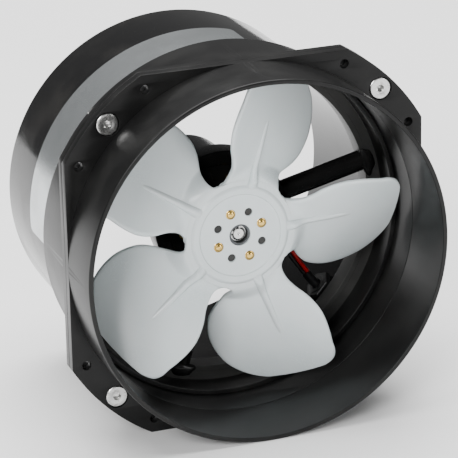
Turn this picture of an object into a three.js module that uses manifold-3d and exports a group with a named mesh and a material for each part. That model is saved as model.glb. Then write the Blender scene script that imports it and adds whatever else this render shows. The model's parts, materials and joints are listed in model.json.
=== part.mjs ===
// Axial inline duct fan: a bolted two-part flanged housing, a turned duct tube, a strut-mounted DC motor
// and a five-bladed moulded impeller. Millimetres, +Z up, airflow along Y with the open inlet facing -Y.
// The origin is on the ground under the middle of the fan's length.
import * as THREE from "three";
import { mergeVertices } from "three/addons/utils/BufferGeometryUtils.js";
import Module from "manifold-3d";

const wasm = await Module();
wasm.setup();

// ---------------------------------------------------------------- driving dimensions

const fitGap = 0.3;          // air left between neighbouring pieces
const runningGap = 0.08;     // radial clearance of the shaft in its bearings
const ringSteps = 60;        // facets around a large turned part
const smallSteps = 16;       // facets around a small turned part
const degree = Math.PI / 180;

const spigotRadius = 100;    // outside of the front and rear spigots
const spigotWall = 2.6;
const spigotLength = 35;     // from the flange face to the rim
const rimChamfer = 0.8;

const flangeThickness = 5;
const flangeEar = 15.2;      // how far the flange's corners stand out past the spigot
const boltOffset = 7.5;      // from the spigot's outside to the circle of flange holes
const boltAngles = [45, 135, 225, 315];
const spareHoleOffset = 14;  // degrees to each side of a screw
const spareHoleRadius = 2.5;

const tubeStepIn = 5.5;      // how far the duct tube's outside lies inside the spigot's
const tubeWall = 5.2;
const tubeSocketWall = 2.75; // thinned front end that plugs into the rear housing
const tubeSocketDepth = 19.3;    // how far the tube plugs into the rear spigot
const tubeExposed = 83.2;    // length of tube that shows behind the rear spigot
const tubeShoulder = 3.6;    // shoulder face, ahead of the rear spigot's end

const mountRingWall = 2.7;
const mountRingWeb = 1.2;    // left behind each strut's pocket
const strutRadius = 5.7;
const strutAngles = [13.5, 133.5, 253.5];
const strutProud = 0.9;      // how far a strut stands ahead of the mount ring's face
const strutSeat = 3.4;       // how far a strut's end reaches into the tube's wall

const holderRadius = 38.3;
const holderThickness = 14;
const holderRecess = 1.2;
const holderRecessRadius = 31.4;
const holderLead = 1.2;      // holder's face ahead of the mount ring's face
const holderBore = 11;

const motorRadius = 28.2;
const motorWall = 1.8;
const motorCapThickness = 5;
const motorBody = 51.5;      // length of the can behind its front cap
const motorScrewCircle = 22.9;
const motorScrewAngles = [76.5, 196.5, 316.5];
const motorScrewShank = 1.45;
const motorScrewHead = 2.8;
const shaftRadius = 3;
const bearingRadius = 8;
const bearingWidth = 5;
const armatureRadius = 21.6;
const magnetInner = 22.4;
const magnetSpan = 140;
const commutatorRadius = 7.5;

const hubSetback = 12.7;     // impeller hub's face behind the flange's front face
const hubRadius = 31.5;
const hubPlate = 3.5;
const hubBore = 6;
const hubRingInner = 23.2;
const hubRingOuter = 27;
const hubRingHeight = 0.8;
const rivetCircle = 13.4;
const rivetFirstAngle = 23;
const rivetHead = 2.65;
const rivetShank = 1.5;
const pegRadius = 2.1;
const carrierRadius = 18.5;
const carrierFlange = 2.4;
const carrierBoss = 7.5;
const carrierLength = 20;

const bladeCount = 5;
const bladeFirstAngle = 74.6;
const bladeThickness = 2.2;
const bladeRootThickness = 3.4;
const bladeMid = 0.7;        // where the blade's pitch is stated, as a share of the tip's radius
const bladeMidSetback = 14.1;
const bladePitch = 0.565;    // axial rise for each millimetre across the blade
const bladeTwist = 0.0049;   // change of that rise for each millimetre of radius
const bladeLean = -0.059;    // axial rise for each millimetre outwards
const bladeSweep = 0.0016;   // axial curve along the blade
const bladeTipGap = 6;       // air between the blades' tips and the bore
const ribReach = 0.722;      // rib's length as a share of the blade tip's radius
const ribWidth = 3.6;
const ribHeight = 2.2;

const leadRadius = 1.05;
const leadPitch = 2.4;       // distance between the two leads' centres
const sleeveRadius = 2.9;
const sleeveWall = 0.4;
const glandAngle = -41.3;
const glandClear = 0.8;      // air between the mount ring and the gland's locknut
const glandHex = 15;         // across flats
const glandBarrel = 5.7;
const glandBore = 3.3;

const labelStart = 75;
const labelEnd = 185;
const labelWidth = 31;
const labelThickness = 0.3;
const labelSetback = 55;

const screwHead = 6;
const screwShank = 2.9;
const screwHexFlats = 4;
const nutFlats = 10;
const nutHeight = 5;
const washerRadius = 6;
const washerThickness = 1.6;

// ---------------------------------------------------------------- derived stations along Y

const rearFlangeFront = flangeThickness + fitGap;
const rearFlangeBack = rearFlangeFront + flangeThickness;
const rearSpigotEnd = rearFlangeBack + spigotLength;
const spigotBore = spigotRadius - spigotWall;
const flangeHalf = spigotRadius;
const flangeCorner = spigotRadius + flangeEar;
const boltCircle = spigotRadius + boltOffset;
const tubeRadius = spigotRadius - tubeStepIn;
const tubeFront = rearSpigotEnd - tubeSocketDepth;
const tubeStep = rearSpigotEnd - 0.5;
const tubeFace = rearSpigotEnd - tubeShoulder;
const tubeEnd = rearSpigotEnd + tubeExposed;
const tubeBore = tubeRadius - tubeWall;
const tubePlug = spigotBore - fitGap;
const tubeSocketBore = tubePlug - tubeSocketWall;
const strutStation = tubeFace - strutProud + strutRadius;
const strutOuter = tubeBore + strutSeat;
const ringOuter = tubeBore - fitGap;
const mountRingInner = ringOuter - mountRingWall;
const mountRingDepth = 2 * strutRadius - strutProud + fitGap + mountRingWeb;
const glandSetback = tubeFace + mountRingDepth + glandHex / 2 + glandClear;
const bladeTip = spigotBore - bladeTipGap;
const bladeMidRadius = bladeMid * bladeTip;
const holderFace = tubeFace - holderLead;
const holderBack = holderFace + holderThickness;
const capFront = holderBack + fitGap;
const capBack = capFront + motorCapThickness;
const canFront = capBack + fitGap;
const canEnd = canFront + motorBody;
const frontBearing = capFront - bearingWidth / 2;
const rearBearing = canEnd - 2 - bearingWidth;
const carrierFront = hubSetback + hubPlate + 0.4;
const retainerThickness = 0.5;
const retainerRadius = shaftRadius + 1.3;
const pilotRadius = hubBore - fitGap;   // ring on the carrier that centres the hub
const pilotBore = retainerRadius + fitGap;
const pilotFront = hubSetback + 0.7;
const retainerFront = carrierFront - fitGap - retainerThickness;
const shaftFront = hubSetback + 2.2;
const midLength = (tubeEnd - spigotLength) / 2;
const axisHeight = Math.max(flangeHalf, spigotRadius);

// ---------------------------------------------------------------- colours and finishes

function finish(color, roughness, metalness = 0) {
  return new THREE.MeshStandardMaterial({ color, roughness, metalness });
}

const finishes = {
  housing: () => finish(0x26272a, 0.45),
  tube: () => finish(0x1b1b1c, 0.22),
  strut: () => finish(0x141414, 0.3),
  label: () => finish(0xb9bfc2, 0.4, 0.4),
  steel: () => finish(0xb8bab8, 0.3, 0.9),
  darkSteel: () => finish(0x3b3f42, 0.45, 0.7),
  nylon: () => finish(0xdde3e2, 0.35),
  brass: () => finish(0xc9a24a, 0.3, 0.9),
  copper: () => finish(0xb36a3c, 0.35, 0.9),
  carbon: () => finish(0x2a2a2a, 0.7),
  magnet: () => finish(0x4a4a4c, 0.6),
  blackPlastic: () => finish(0x161617, 0.4),
  redInsulation: () => finish(0xc01c1c, 0.35),
  blackInsulation: () => finish(0x151515, 0.35),
};

// ---------------------------------------------------------------- geometry helpers

const fan = new THREE.Group();
fan.position.set(0, -midLength, axisHeight);

function add(name, geometry, material) {
  const mesh = new THREE.Mesh(geometry, material());
  mesh.name = name;
  fan.add(mesh);
  return mesh;
}

// A turned solid about Y. The profile is [radius, y] pairs, outer side running towards +Y.
function revolve(profile, steps = ringSteps) {
  const closes = profile[0][0] > 0;
  const points = profile.map(([radius, y]) => new THREE.Vector2(radius, y));
  if (closes) points.push(points[0].clone());
  return new THREE.LatheGeometry(points, steps);
}

// A flat plate lying across Y: the shape's x and y become X and Z.
function plate(shape, low, thickness, curveSegments = ringSteps) {
  const settings = { depth: thickness, bevelEnabled: false, curveSegments };
  const geometry = new THREE.ExtrudeGeometry(shape, settings);
  geometry.rotateX(Math.PI / 2);
  geometry.translate(0, low + thickness, 0);
  return geometry;
}

// A bar along Y from low to high, at (x, z).
function bar(radius, low, high, steps = smallSteps, x = 0, z = 0, endRadius = radius) {
  const geometry = new THREE.CylinderGeometry(endRadius, radius, high - low, steps);
  geometry.translate(x, (low + high) / 2, z);
  return geometry;
}

// Turns a shape made on the +X side of the axis to its own angle, anticlockwise seen from the inlet.
function atAngle(geometry, angle) {
  return geometry.rotateY(-angle * degree);
}

function solid(geometry) {
  const bare = new THREE.BufferGeometry();
  bare.setAttribute("position", geometry.getAttribute("position").clone());
  if (geometry.index) bare.setIndex(geometry.index.clone());
  const merged = mergeVertices(bare, 1e-4);
  const mesh = new wasm.Mesh({
    numProp: 3,
    vertProperties: new Float32Array(merged.getAttribute("position").array),
    triVerts: new Uint32Array(merged.index.array),
  });
  return new wasm.Manifold(mesh);
}

function geometryOf(manifold) {
  const mesh = manifold.getMesh();
  const geometry = new THREE.BufferGeometry();
  const positions = new Float32Array(mesh.vertProperties);
  geometry.setAttribute("position", new THREE.BufferAttribute(positions, 3));
  geometry.setIndex(new THREE.BufferAttribute(new Uint32Array(mesh.triVerts), 1));
  geometry.computeVertexNormals();
  return geometry;
}

function cut(base, tools) {
  return geometryOf(tools.reduce((rest, tool) => rest.subtract(solid(tool)), solid(base)));
}

function join(pieces, tools = []) {
  const whole = pieces.map(solid).reduce((sum, piece) => sum.add(piece));
  return geometryOf(tools.reduce((rest, tool) => rest.subtract(solid(tool)), whole));
}

function polar(radius, angle) {
  return [radius * Math.cos(angle * degree), radius * Math.sin(angle * degree)];
}

function ringSector(inner, outer, start, end) {
  const shape = new THREE.Shape();
  shape.absarc(0, 0, outer, start * degree, end * degree, false);
  shape.absarc(0, 0, inner, end * degree, start * degree, true);
  shape.closePath();
  return shape;
}

// ---------------------------------------------------------------- housing

function arcPoints(radius, start, end, steps) {
  const points = [];
  for (let step = 0; step <= steps; step += 1) {
    const angle = THREE.MathUtils.lerp(start, end, step / steps);
    points.push(new THREE.Vector2(radius * Math.cos(angle), radius * Math.sin(angle)));
  }
  return points;
}

// The flange's outline: a square whose corners are cut by an arc about the fan's axis.
function flangePlate(low) {
  const cornerStart = Math.acos(flangeHalf / flangeCorner);
  const outline = [0, 1, 2, 3].flatMap((side) => {
    const turn = side * Math.PI / 2;
    return arcPoints(flangeCorner, turn + cornerStart, turn + Math.PI / 2 - cornerStart, 8);
  });
  const shape = new THREE.Shape(outline);
  const bore = arcPoints(spigotBore + spigotWall / 2, 2 * Math.PI, 0, ringSteps).slice(1);
  shape.holes.push(new THREE.Path(bore));
  return plate(shape, low, flangeThickness);
}

function spareHoles(low) {
  const holes = [];
  for (const angle of boltAngles) {
    for (const offset of [-spareHoleOffset, spareHoleOffset]) {
      const [x, z] = polar(boltCircle, angle + offset);
      holes.push(bar(spareHoleRadius, low - 1, low + flangeThickness + 1, 12, x, z));
    }
  }
  return holes;
}

function frontHousing() {
  const spigot = revolve([
    [spigotRadius - rimChamfer, -spigotLength],
    [spigotRadius, -spigotLength + rimChamfer],
    [spigotRadius, flangeThickness],
    [spigotBore, flangeThickness],
    [spigotBore, -spigotLength + rimChamfer],
    [spigotBore + rimChamfer, -spigotLength],
  ]);
  const tools = spareHoles(0);
  const sinkRadius = screwHead + 0.7;
  const holeRadius = screwShank + fitGap + 0.1;
  for (const angle of boltAngles) {
    const [x, z] = polar(boltCircle, angle);
    tools.push(bar(holeRadius, -1, flangeThickness + 1, smallSteps, x, z));
    tools.push(bar(sinkRadius, -1, 0.6, smallSteps, x, z));
    tools.push(bar(sinkRadius, 0.59, 0.59 + sinkRadius - holeRadius, smallSteps, x, z, holeRadius));
  }
  return join([spigot, flangePlate(0)], tools);
}

function rearHousing() {
  const spigot = revolve([
    [spigotRadius, rearFlangeFront],
    [spigotRadius, rearSpigotEnd - rimChamfer],
    [spigotRadius - rimChamfer, rearSpigotEnd],
    [spigotBore, rearSpigotEnd],
    [spigotBore, rearFlangeFront],
  ]);
  const tools = spareHoles(rearFlangeFront);
  const screwHole = screwShank + fitGap + 0.1;
  for (const angle of boltAngles) {
    const [x, z] = polar(boltCircle, angle);
    tools.push(bar(screwHole, rearFlangeFront - 1, rearFlangeBack + 1, smallSteps, x, z));
  }
  return join([spigot, flangePlate(rearFlangeFront)], tools);
}

// A pocket, open towards the inlet, that takes one strut's end.
function strutSlot(angle) {
  const half = strutRadius + fitGap;
  const length = strutOuter + fitGap - mountRingInner + 2;
  const slot = new THREE.BoxGeometry(length, 2 * half, 2 * half);
  slot.translate(strutOuter + fitGap - length / 2, strutStation, 0);
  return atAngle(slot, angle);
}

function ductTube() {
  const body = revolve([
    [tubePlug - 0.5, tubeFront],
    [tubePlug, tubeFront + 0.5],
    [tubePlug, tubeStep],
    [tubeRadius, tubeStep],
    [tubeRadius, tubeEnd - rimChamfer],
    [tubeRadius - rimChamfer, tubeEnd],
    [tubeBore + rimChamfer, tubeEnd],
    [tubeBore, tubeEnd - rimChamfer],
    [tubeBore, tubeFace],
    [tubeSocketBore, tubeFace],
    [tubeSocketBore, tubeFront],
  ]);
  const holeRadius = glandBarrel + fitGap;
  const glandHole = new THREE.CylinderGeometry(holeRadius, holeRadius, 20, smallSteps);
  glandHole.rotateZ(Math.PI / 2);
  glandHole.translate(tubeRadius - tubeWall / 2, glandSetback, 0);
  atAngle(glandHole, glandAngle);
  return cut(body, [...strutAngles.map(strutSlot), glandHole]);
}

add("front_housing", frontHousing(), finishes.housing);
add("rear_housing", rearHousing(), finishes.housing);
add("duct_tube", ductTube(), finishes.tube);

const labelInner = tubeRadius + fitGap;
const labelShape = ringSector(labelInner, labelInner + labelThickness, labelStart, labelEnd);
add("rating_label", plate(labelShape, labelSetback, labelWidth, 10), finishes.label);

// ---------------------------------------------------------------- flange fasteners

function flangeScrew() {
  const top = 0.2;
  const tip = rearFlangeBack + washerThickness + nutHeight + 2.5;
  const body = revolve([
    [0, top],
    [screwHead, top],
    [screwHead, top + 0.3],
    [screwShank, top + 0.3 + screwHead - screwShank],
    [screwShank, tip - 0.6],
    [screwShank - 0.6, tip],
    [0, tip],
  ], smallSteps);
  const socket = bar(screwHexFlats / Math.sqrt(3), top - 1, top + 2.2, 6);
  return cut(body, [socket]);
}

function hexPiece(flats, bore, low, height) {
  const body = bar(flats / Math.sqrt(3), low, low + height, 6);
  return cut(body, [bar(bore, low - 1, low + height + 1)]);
}

function flatRing(inner, outer, low, height, steps = smallSteps) {
  return revolve([[outer, low], [outer, low + height], [inner, low + height], [inner, low]], steps);
}

boltAngles.forEach((angle, index) => {
  const [x, z] = polar(boltCircle, angle);
  const washerLow = rearFlangeBack + fitGap;
  const nutLow = washerLow + washerThickness + fitGap;
  const clearHole = screwShank + fitGap;
  const set = {
    flange_screw: [flangeScrew(), finishes.steel],
    flange_washer: [flatRing(clearHole, washerRadius, washerLow, washerThickness), finishes.steel],
    flange_nut: [hexPiece(nutFlats, clearHole, nutLow, nutHeight), finishes.steel],
  };
  for (const [name, [geometry, material]] of Object.entries(set)) {
    add(`${name}_${index + 1}`, geometry, material).position.set(x, 0, z);
  }
});

// ---------------------------------------------------------------- motor mount

const ringBody = flatRing(mountRingInner, ringOuter, tubeFace, mountRingDepth, ringSteps);
add("motor_mount_ring", cut(ringBody, strutAngles.map(strutSlot)), finishes.housing);

strutAngles.forEach((angle, index) => {
  const inner = holderRadius + fitGap;
  const rod = new THREE.CylinderGeometry(strutRadius, strutRadius, strutOuter - inner, smallSteps);
  rod.rotateZ(Math.PI / 2);
  rod.translate((strutOuter + inner) / 2, strutStation, 0);
  add(`mount_strut_${index + 1}`, atAngle(rod, angle), finishes.strut);
});

function motorHolder() {
  const body = revolve([
    [holderRadius - 1.2, holderFace],
    [holderRadius, holderFace + 1.2],
    [holderRadius, holderBack],
    [holderBore, holderBack],
    [holderBore, holderFace + holderRecess],
    [holderRecessRadius - 1, holderFace + holderRecess],
    [holderRecessRadius, holderFace],
  ], 36);
  const holes = motorScrewAngles.map((angle) => {
    const [x, z] = polar(motorScrewCircle, angle);
    return bar(motorScrewShank + fitGap, holderFace - 1, holderBack + 1, 12, x, z);
  });
  return cut(body, holes);
}

add("motor_holder", motorHolder(), finishes.strut);

motorScrewAngles.forEach((angle, index) => {
  const seat = holderFace + holderRecess - fitGap;
  const [x, z] = polar(motorScrewCircle, angle);
  const body = revolve([
    [0, seat - 2],
    [motorScrewHead - 0.4, seat - 2],
    [motorScrewHead, seat - 1.6],
    [motorScrewHead, seat],
    [motorScrewShank, seat],
    [motorScrewShank, capBack - 1],
    [0, capBack - 1],
  ], 12);
  const slot = new THREE.BoxGeometry(2 * motorScrewHead + 1, 1.6, 0.8);
  slot.translate(0, seat - 2, 0);
  slot.rotateY(angle * degree * 2);
  add(`motor_screw_${index + 1}`, cut(body, [slot]), finishes.brass).position.set(x, 0, z);
});

// ---------------------------------------------------------------- motor

function motorFrontCap() {
  const pocket = bearingRadius + fitGap;
  const nose = frontBearing - 1.6;
  const body = revolve([
    [shaftRadius + 1, nose],
    [holderBore - fitGap, nose],
    [holderBore - fitGap, capFront],
    [motorRadius, capFront],
    [motorRadius, capBack],
    [pocket, capBack],
    [pocket, frontBearing - fitGap],
    [shaftRadius + 1, frontBearing - fitGap],
  ], 36);
  const holes = motorScrewAngles.map((angle) => {
    const [x, z] = polar(motorScrewCircle, angle);
    return bar(motorScrewShank + fitGap, capFront - 1, capBack + 1, 12, x, z);
  });
  return cut(body, holes);
}

// The grommet's place in the can's side, level with the brush gear.
const grommetStation = canFront + 6.5;
const grommetAngle = -8;
const grommetRadius = 4;

function radialBar(radius, inner, outer, y, angle, steps = smallSteps) {
  const geometry = new THREE.CylinderGeometry(radius, radius, outer - inner, steps);
  geometry.rotateZ(Math.PI / 2);
  geometry.translate((inner + outer) / 2, y, 0);
  return atAngle(geometry, angle);
}

function motorCan() {
  const pocket = bearingRadius + fitGap;
  const inner = motorRadius - motorWall;
  const roofInside = rearBearing + bearingWidth + fitGap;
  const body = revolve([
    [0, roofInside],
    [pocket, roofInside],
    [pocket, rearBearing - 0.5],
    [pocket + 2, rearBearing - 0.5],
    [pocket + 2, roofInside - 1.2],
    [inner - 5, roofInside - 2.6],
    [inner - 1.2, roofInside - 6],
    [inner, roofInside - 9],
    [inner, canFront],
    [motorRadius, canFront],
    [motorRadius, canEnd - 9],
    [motorRadius - 1.2, canEnd - 5.5],
    [motorRadius - 5, canEnd - 2],
    [motorRadius - 11, canEnd - 0.4],
    [0, canEnd],
  ], 36);
  const clear = grommetRadius + fitGap;
  return cut(body, [radialBar(clear, inner - 4, motorRadius + 4, grommetStation, grommetAngle)]);
}

function bearing(low) {
  return flatRing(shaftRadius + runningGap, bearingRadius, low, bearingWidth, 24);
}

const brushPlateFront = canFront + 0.4;
const brushPlateThickness = 2;
const brushLow = brushPlateFront + brushPlateThickness + fitGap;
const brushWidth = 5;
const windingHeight = 4.5;
const commutatorLow = canFront + 2;
const commutatorHigh = commutatorLow + 8.5;
const frontWindingLow = commutatorHigh + fitGap;
const coreLow = frontWindingLow + windingHeight + fitGap;
const coreHigh = rearBearing - windingHeight - 2;

function armatureCore() {
  const slots = [];
  for (let index = 0; index < 8; index += 1) {
    const slot = new THREE.BoxGeometry(9, coreHigh - coreLow + 2, 3);
    slot.translate(armatureRadius - 3, (coreLow + coreHigh) / 2, 0);
    slots.push(atAngle(slot, index * 45));
  }
  return cut(flatRing(shaftRadius + fitGap, armatureRadius, coreLow, coreHigh - coreLow, 32), slots);
}

function winding(low) {
  const round = 1.2;
  const outer = armatureRadius - 3;
  const inner = shaftRadius + 2;
  return revolve([
    [outer - round, low],
    [outer, low + round],
    [outer, low + windingHeight - round],
    [outer - round, low + windingHeight],
    [inner, low + windingHeight],
    [inner, low],
  ], 20);
}

add("motor_front_cap", motorFrontCap(), finishes.darkSteel);
add("motor_can", motorCan(), finishes.strut);
add("front_bearing", bearing(frontBearing), finishes.steel);
add("rear_bearing", bearing(rearBearing), finishes.steel);
add("motor_shaft", revolve([
  [0, shaftFront],
  [shaftRadius - 0.4, shaftFront],
  [shaftRadius, shaftFront + 0.4],
  [shaftRadius, rearBearing + bearingWidth - 0.2],
  [0, rearBearing + bearingWidth - 0.2],
], 24), finishes.steel);
add("armature_core", armatureCore(), finishes.darkSteel);
add("winding_front", winding(frontWindingLow), finishes.copper);
add("winding_rear", winding(coreHigh + fitGap), finishes.copper);
add("commutator", flatRing(shaftRadius + fitGap, commutatorRadius, commutatorLow,
  commutatorHigh - commutatorLow, 24), finishes.copper);

[0, 180].forEach((turn, index) => {
  const outer = motorRadius - motorWall - fitGap;
  const sector = ringSector(magnetInner, outer, turn + 90 - magnetSpan / 2, turn + 90 + magnetSpan / 2);
  add(`magnet_${index + 1}`, plate(sector, coreLow, coreHigh - coreLow, 12), finishes.magnet);

  const brushInner = commutatorRadius + fitGap;
  const brush = new THREE.BoxGeometry(7, brushWidth, brushWidth);
  brush.translate(brushInner + 3.5, brushLow + brushWidth / 2, 0);
  add(`brush_${index + 1}`, atAngle(brush, turn + 60), finishes.carbon);

  const springWire = 0.3;
  const springStart = brushInner + 7 + fitGap + springWire;
  const springEnd = motorRadius - motorWall - fitGap - springWire;
  const turns = 4;
  const springSteps = turns * 8;
  const coil = [];
  for (let step = 0; step <= springSteps; step += 1) {
    const along = step / springSteps;
    const phase = along * turns * 2 * Math.PI;
    const x = springStart + (springEnd - springStart) * along;
    const y = brushLow + brushWidth / 2 + 1.7 * Math.cos(phase);
    coil.push(new THREE.Vector3(x, y, 1.7 * Math.sin(phase)));
  }
  const wire = new THREE.Shape();
  wire.absarc(0, 0, springWire, 0, 2 * Math.PI, false);
  const spring = new THREE.ExtrudeGeometry(wire, {
    steps: springSteps,
    curveSegments: 2,
    bevelEnabled: false,
    extrudePath: new THREE.CatmullRomCurve3(coil),
  });
  add(`brush_spring_${index + 1}`, atAngle(spring, turn + 60), finishes.steel);
});

add("brush_holder", flatRing(commutatorRadius + 2, motorRadius - motorWall - fitGap, brushPlateFront,
  brushPlateThickness, 24), finishes.blackPlastic);

// ---------------------------------------------------------------- impeller

const hubMid = hubSetback + hubPlate / 2;

// Edges of a blade as [share of the way from the hub to the tip, degrees from the rib].
const forwardEdge = [
  [0, 31], [0.075, 25], [0.17, 22], [0.285, 22.8], [0.415, 23], [0.55, 21.7], [0.69, 18.8], [0.815, 16.1],
  [0.915, 14.6], [0.98, 13.1], [1, 10.4],
];
const rearEdge = [
  [0, -32], [0.075, -29.3], [0.17, -31], [0.285, -34.3], [0.415, -34.5], [0.55, -32.3], [0.69, -28.4],
  [0.8, -23.9], [0.895, -19.2], [0.96, -14], [1, -5.5],
];

function edgeCurve(points) {
  const root = hubRadius - 2;
  return new THREE.SplineCurve(points.map(([share, angle]) =>
    new THREE.Vector2(THREE.MathUtils.lerp(root, bladeTip, share), angle)));
}

function smoothStep(low, high, value) {
  return THREE.MathUtils.smoothstep(value, low, high);
}

// The blade's middle surface: a pitched, slightly twisted sheet that runs flat into the hub.
function bladeSurface(radius, angle) {
  const out = radius * Math.cos(angle) - bladeMidRadius;
  const across = radius * Math.sin(angle);
  const slope = (bladePitch + bladeTwist * out) * across;
  const free = bladeMidSetback - slope + (bladeLean + bladeSweep * out) * out;
  return THREE.MathUtils.lerp(hubMid, free, smoothStep(hubRadius - 2, hubRadius + 12, radius));
}

function bladeThicknessAt(radius) {
  const share = smoothStep(hubRadius, bladeMidRadius, radius);
  return THREE.MathUtils.lerp(bladeRootThickness, bladeThickness, share);
}

function blade() {
  const rows = 11;
  const columns = 4;
  const box = new THREE.BoxGeometry(1, 1, 1, rows, 1, columns);
  const place = box.getAttribute("position");
  const forward = edgeCurve(forwardEdge);
  const rear = edgeCurve(rearEdge);
  for (let index = 0; index < place.count; index += 1) {
    const along = place.getX(index) + 0.5;
    const across = place.getZ(index) + 0.5;
    const start = rear.getPoint(along);
    const end = forward.getPoint(along);
    const radius = THREE.MathUtils.lerp(start.x, end.x, across);
    const angle = THREE.MathUtils.lerp(start.y, end.y, across) * degree;
    const y = bladeSurface(radius, angle) + place.getY(index) * bladeThicknessAt(radius);
    place.setXYZ(index, radius * Math.cos(angle), y, radius * Math.sin(angle));
  }
  return box;
}

// The stiffening rib on a blade's front: it tapers in width and height from the hub outwards.
function bladeRib() {
  const box = new THREE.BoxGeometry(1, 1, 1, 5, 1, 1);
  const place = box.getAttribute("position");
  const start = hubRingOuter - 1;
  for (let index = 0; index < place.count; index += 1) {
    const along = place.getX(index) + 0.5;
    const front = place.getY(index) < 0;
    const radius = THREE.MathUtils.lerp(start, ribReach * bladeTip, along);
    const width = ribWidth * (1 - 0.45 * along) * (front ? 0.55 : 1);
    const height = bladeThicknessAt(radius) / 2 + ribHeight * (1 - along * along * 0.85);
    const across = place.getZ(index) * width;
    const middle = bladeSurface(radius, Math.atan2(across, radius));
    place.setXYZ(index, radius, middle - (front ? height : 0), across);
  }
  return box;
}

function impeller() {
  const back = hubSetback + hubPlate;
  const disc = revolve([
    [hubBore, hubSetback],
    [hubRingInner - 0.6, hubSetback],
    [hubRingInner, hubSetback - hubRingHeight],
    [hubRingOuter - 0.4, hubSetback - hubRingHeight],
    [hubRingOuter + 0.4, hubSetback + 0.2],
    [hubRadius - 1, hubSetback + 0.4],
    [hubRadius, hubSetback + 1.4],
    [hubRadius, back + 1.6],
    [hubRadius - 2.4, back + 1.6],
    [hubRadius - 3.2, back],
    [hubBore, back],
  ], 40);
  const pieces = [disc];
  for (let index = 0; index < bladeCount; index += 1) {
    const angle = bladeFirstAngle + index * 360 / bladeCount;
    pieces.push(atAngle(blade(), angle), atAngle(bladeRib(), angle));
  }
  const tools = [];
  for (let index = 0; index < 8; index += 1) {
    const [x, z] = polar(rivetCircle, rivetFirstAngle + index * 45);
    const radius = (index % 2 ? pegRadius : rivetShank) + fitGap;
    tools.push(bar(radius, hubSetback - 2, back + 2, 12, x, z));
  }
  return join(pieces, tools);
}

function hubCarrier() {
  const bore = shaftRadius + fitGap;
  const body = revolve([
    [carrierRadius, carrierFront],
    [carrierRadius, carrierFront + carrierFlange],
    [carrierBoss, carrierFront + carrierFlange],
    [carrierBoss, carrierFront + carrierLength],
    [bore, carrierFront + carrierLength],
    [bore, carrierFront],
    [pilotBore, carrierFront],
    [pilotBore, pilotFront],
    [pilotRadius, pilotFront],
    [pilotRadius, carrierFront],
  ], 24);
  const pegs = [];
  const holes = [];
  for (let index = 0; index < 4; index += 1) {
    const [pegX, pegZ] = polar(rivetCircle, rivetFirstAngle + 45 + index * 90);
    pegs.push(bar(pegRadius, hubSetback + 0.6, carrierFront + 1, 12, pegX, pegZ));
    const [x, z] = polar(rivetCircle, rivetFirstAngle + index * 90);
    holes.push(bar(rivetShank + fitGap, carrierFront - 1, carrierFront + carrierFlange + 1, 12, x, z));
  }
  return join([body, ...pegs], holes);
}

function rivet() {
  const seat = hubSetback - 0.25;
  const tail = carrierFront + carrierFlange + 0.25;
  return revolve([
    [0, seat - 1.5],
    [rivetHead * 0.55, seat - 1.25],
    [rivetHead * 0.88, seat - 0.7],
    [rivetHead, seat],
    [rivetShank, seat],
    [rivetShank, tail],
    [rivetHead - 0.4, tail],
    [rivetHead - 0.6, tail + 1],
    [0, tail + 1.2],
  ], 12);
}

function starWasher() {
  const shape = new THREE.Shape();
  shape.absarc(0, 0, retainerRadius, 0, 2 * Math.PI, false);
  const hole = new THREE.Path();
  const teeth = 8;
  for (let index = 0; index < 2 * teeth; index += 1) {
    const radius = index % 2 ? retainerRadius - 0.6 : shaftRadius + fitGap;
    const [x, z] = polar(radius, index * 180 / teeth);
    if (index === 0) hole.moveTo(x, z);
    else hole.lineTo(x, z);
  }
  hole.closePath();
  shape.holes.push(hole);
  return plate(shape, retainerFront, retainerThickness, 8);
}

add("impeller", impeller(), finishes.nylon);
add("hub_carrier", hubCarrier(), finishes.darkSteel);
for (let index = 0; index < 4; index += 1) {
  const [x, z] = polar(rivetCircle, rivetFirstAngle + index * 90);
  add(`hub_rivet_${index + 1}`, rivet(), finishes.brass).position.set(x, 0, z);
}
add("retaining_washer", starWasher(), finishes.steel);

// ---------------------------------------------------------------- leads and cable gland

// The pair's route from the can's side to the gland's axis. The bends are [share of the way out,
// degrees, distance behind the gland's axis].
const leadBends = [[0.14, -18.2, 3.5], [0.32, -28.6, 1.5], [0.51, -35.1, 0], [0.83, -39.9, 0]];

function routePoint(radius, angle, y) {
  const [x, z] = polar(radius, angle);
  return new THREE.Vector3(x, y, z);
}

const routeInner = motorRadius + 3.3;
const routeOuter = tubeBore - 6;
const leadRoute = [
  routePoint(motorRadius - 3, grommetAngle, grommetStation),
  routePoint(routeInner, grommetAngle, grommetStation),
  ...leadBends.map(([share, angle, behind]) =>
    routePoint(THREE.MathUtils.lerp(routeInner, routeOuter, share), angle, glandSetback + behind)),
  routePoint(routeOuter, glandAngle, glandSetback),
  routePoint(tubeBore, glandAngle, glandSetback),
  routePoint(tubeRadius + 6.5, glandAngle, glandSetback),
];

function roundShape(radius, bore = 0) {
  const shape = new THREE.Shape();
  shape.absarc(0, 0, radius, 0, 2 * Math.PI, false);
  if (bore > 0) {
    const hole = new THREE.Path();
    hole.absarc(0, 0, bore, 0, 2 * Math.PI, true);
    shape.holes.push(hole);
  }
  return shape;
}

// The route moved sideways, across both its own run and the fan's axis.
function besideRoute(offset) {
  const middle = new THREE.CatmullRomCurve3(leadRoute);
  const points = [];
  for (let step = 0; step <= 24; step += 1) {
    const tangent = middle.getTangentAt(step / 24);
    const side = new THREE.Vector3(0, 1, 0).cross(tangent).normalize();
    points.push(middle.getPointAt(step / 24).addScaledVector(side, offset));
  }
  return new THREE.CatmullRomCurve3(points);
}

function lead(offset) {
  return new THREE.ExtrudeGeometry(roundShape(leadRadius), {
    steps: 26,
    curveSegments: 4,
    bevelEnabled: false,
    extrudePath: besideRoute(offset),
  });
}

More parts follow.
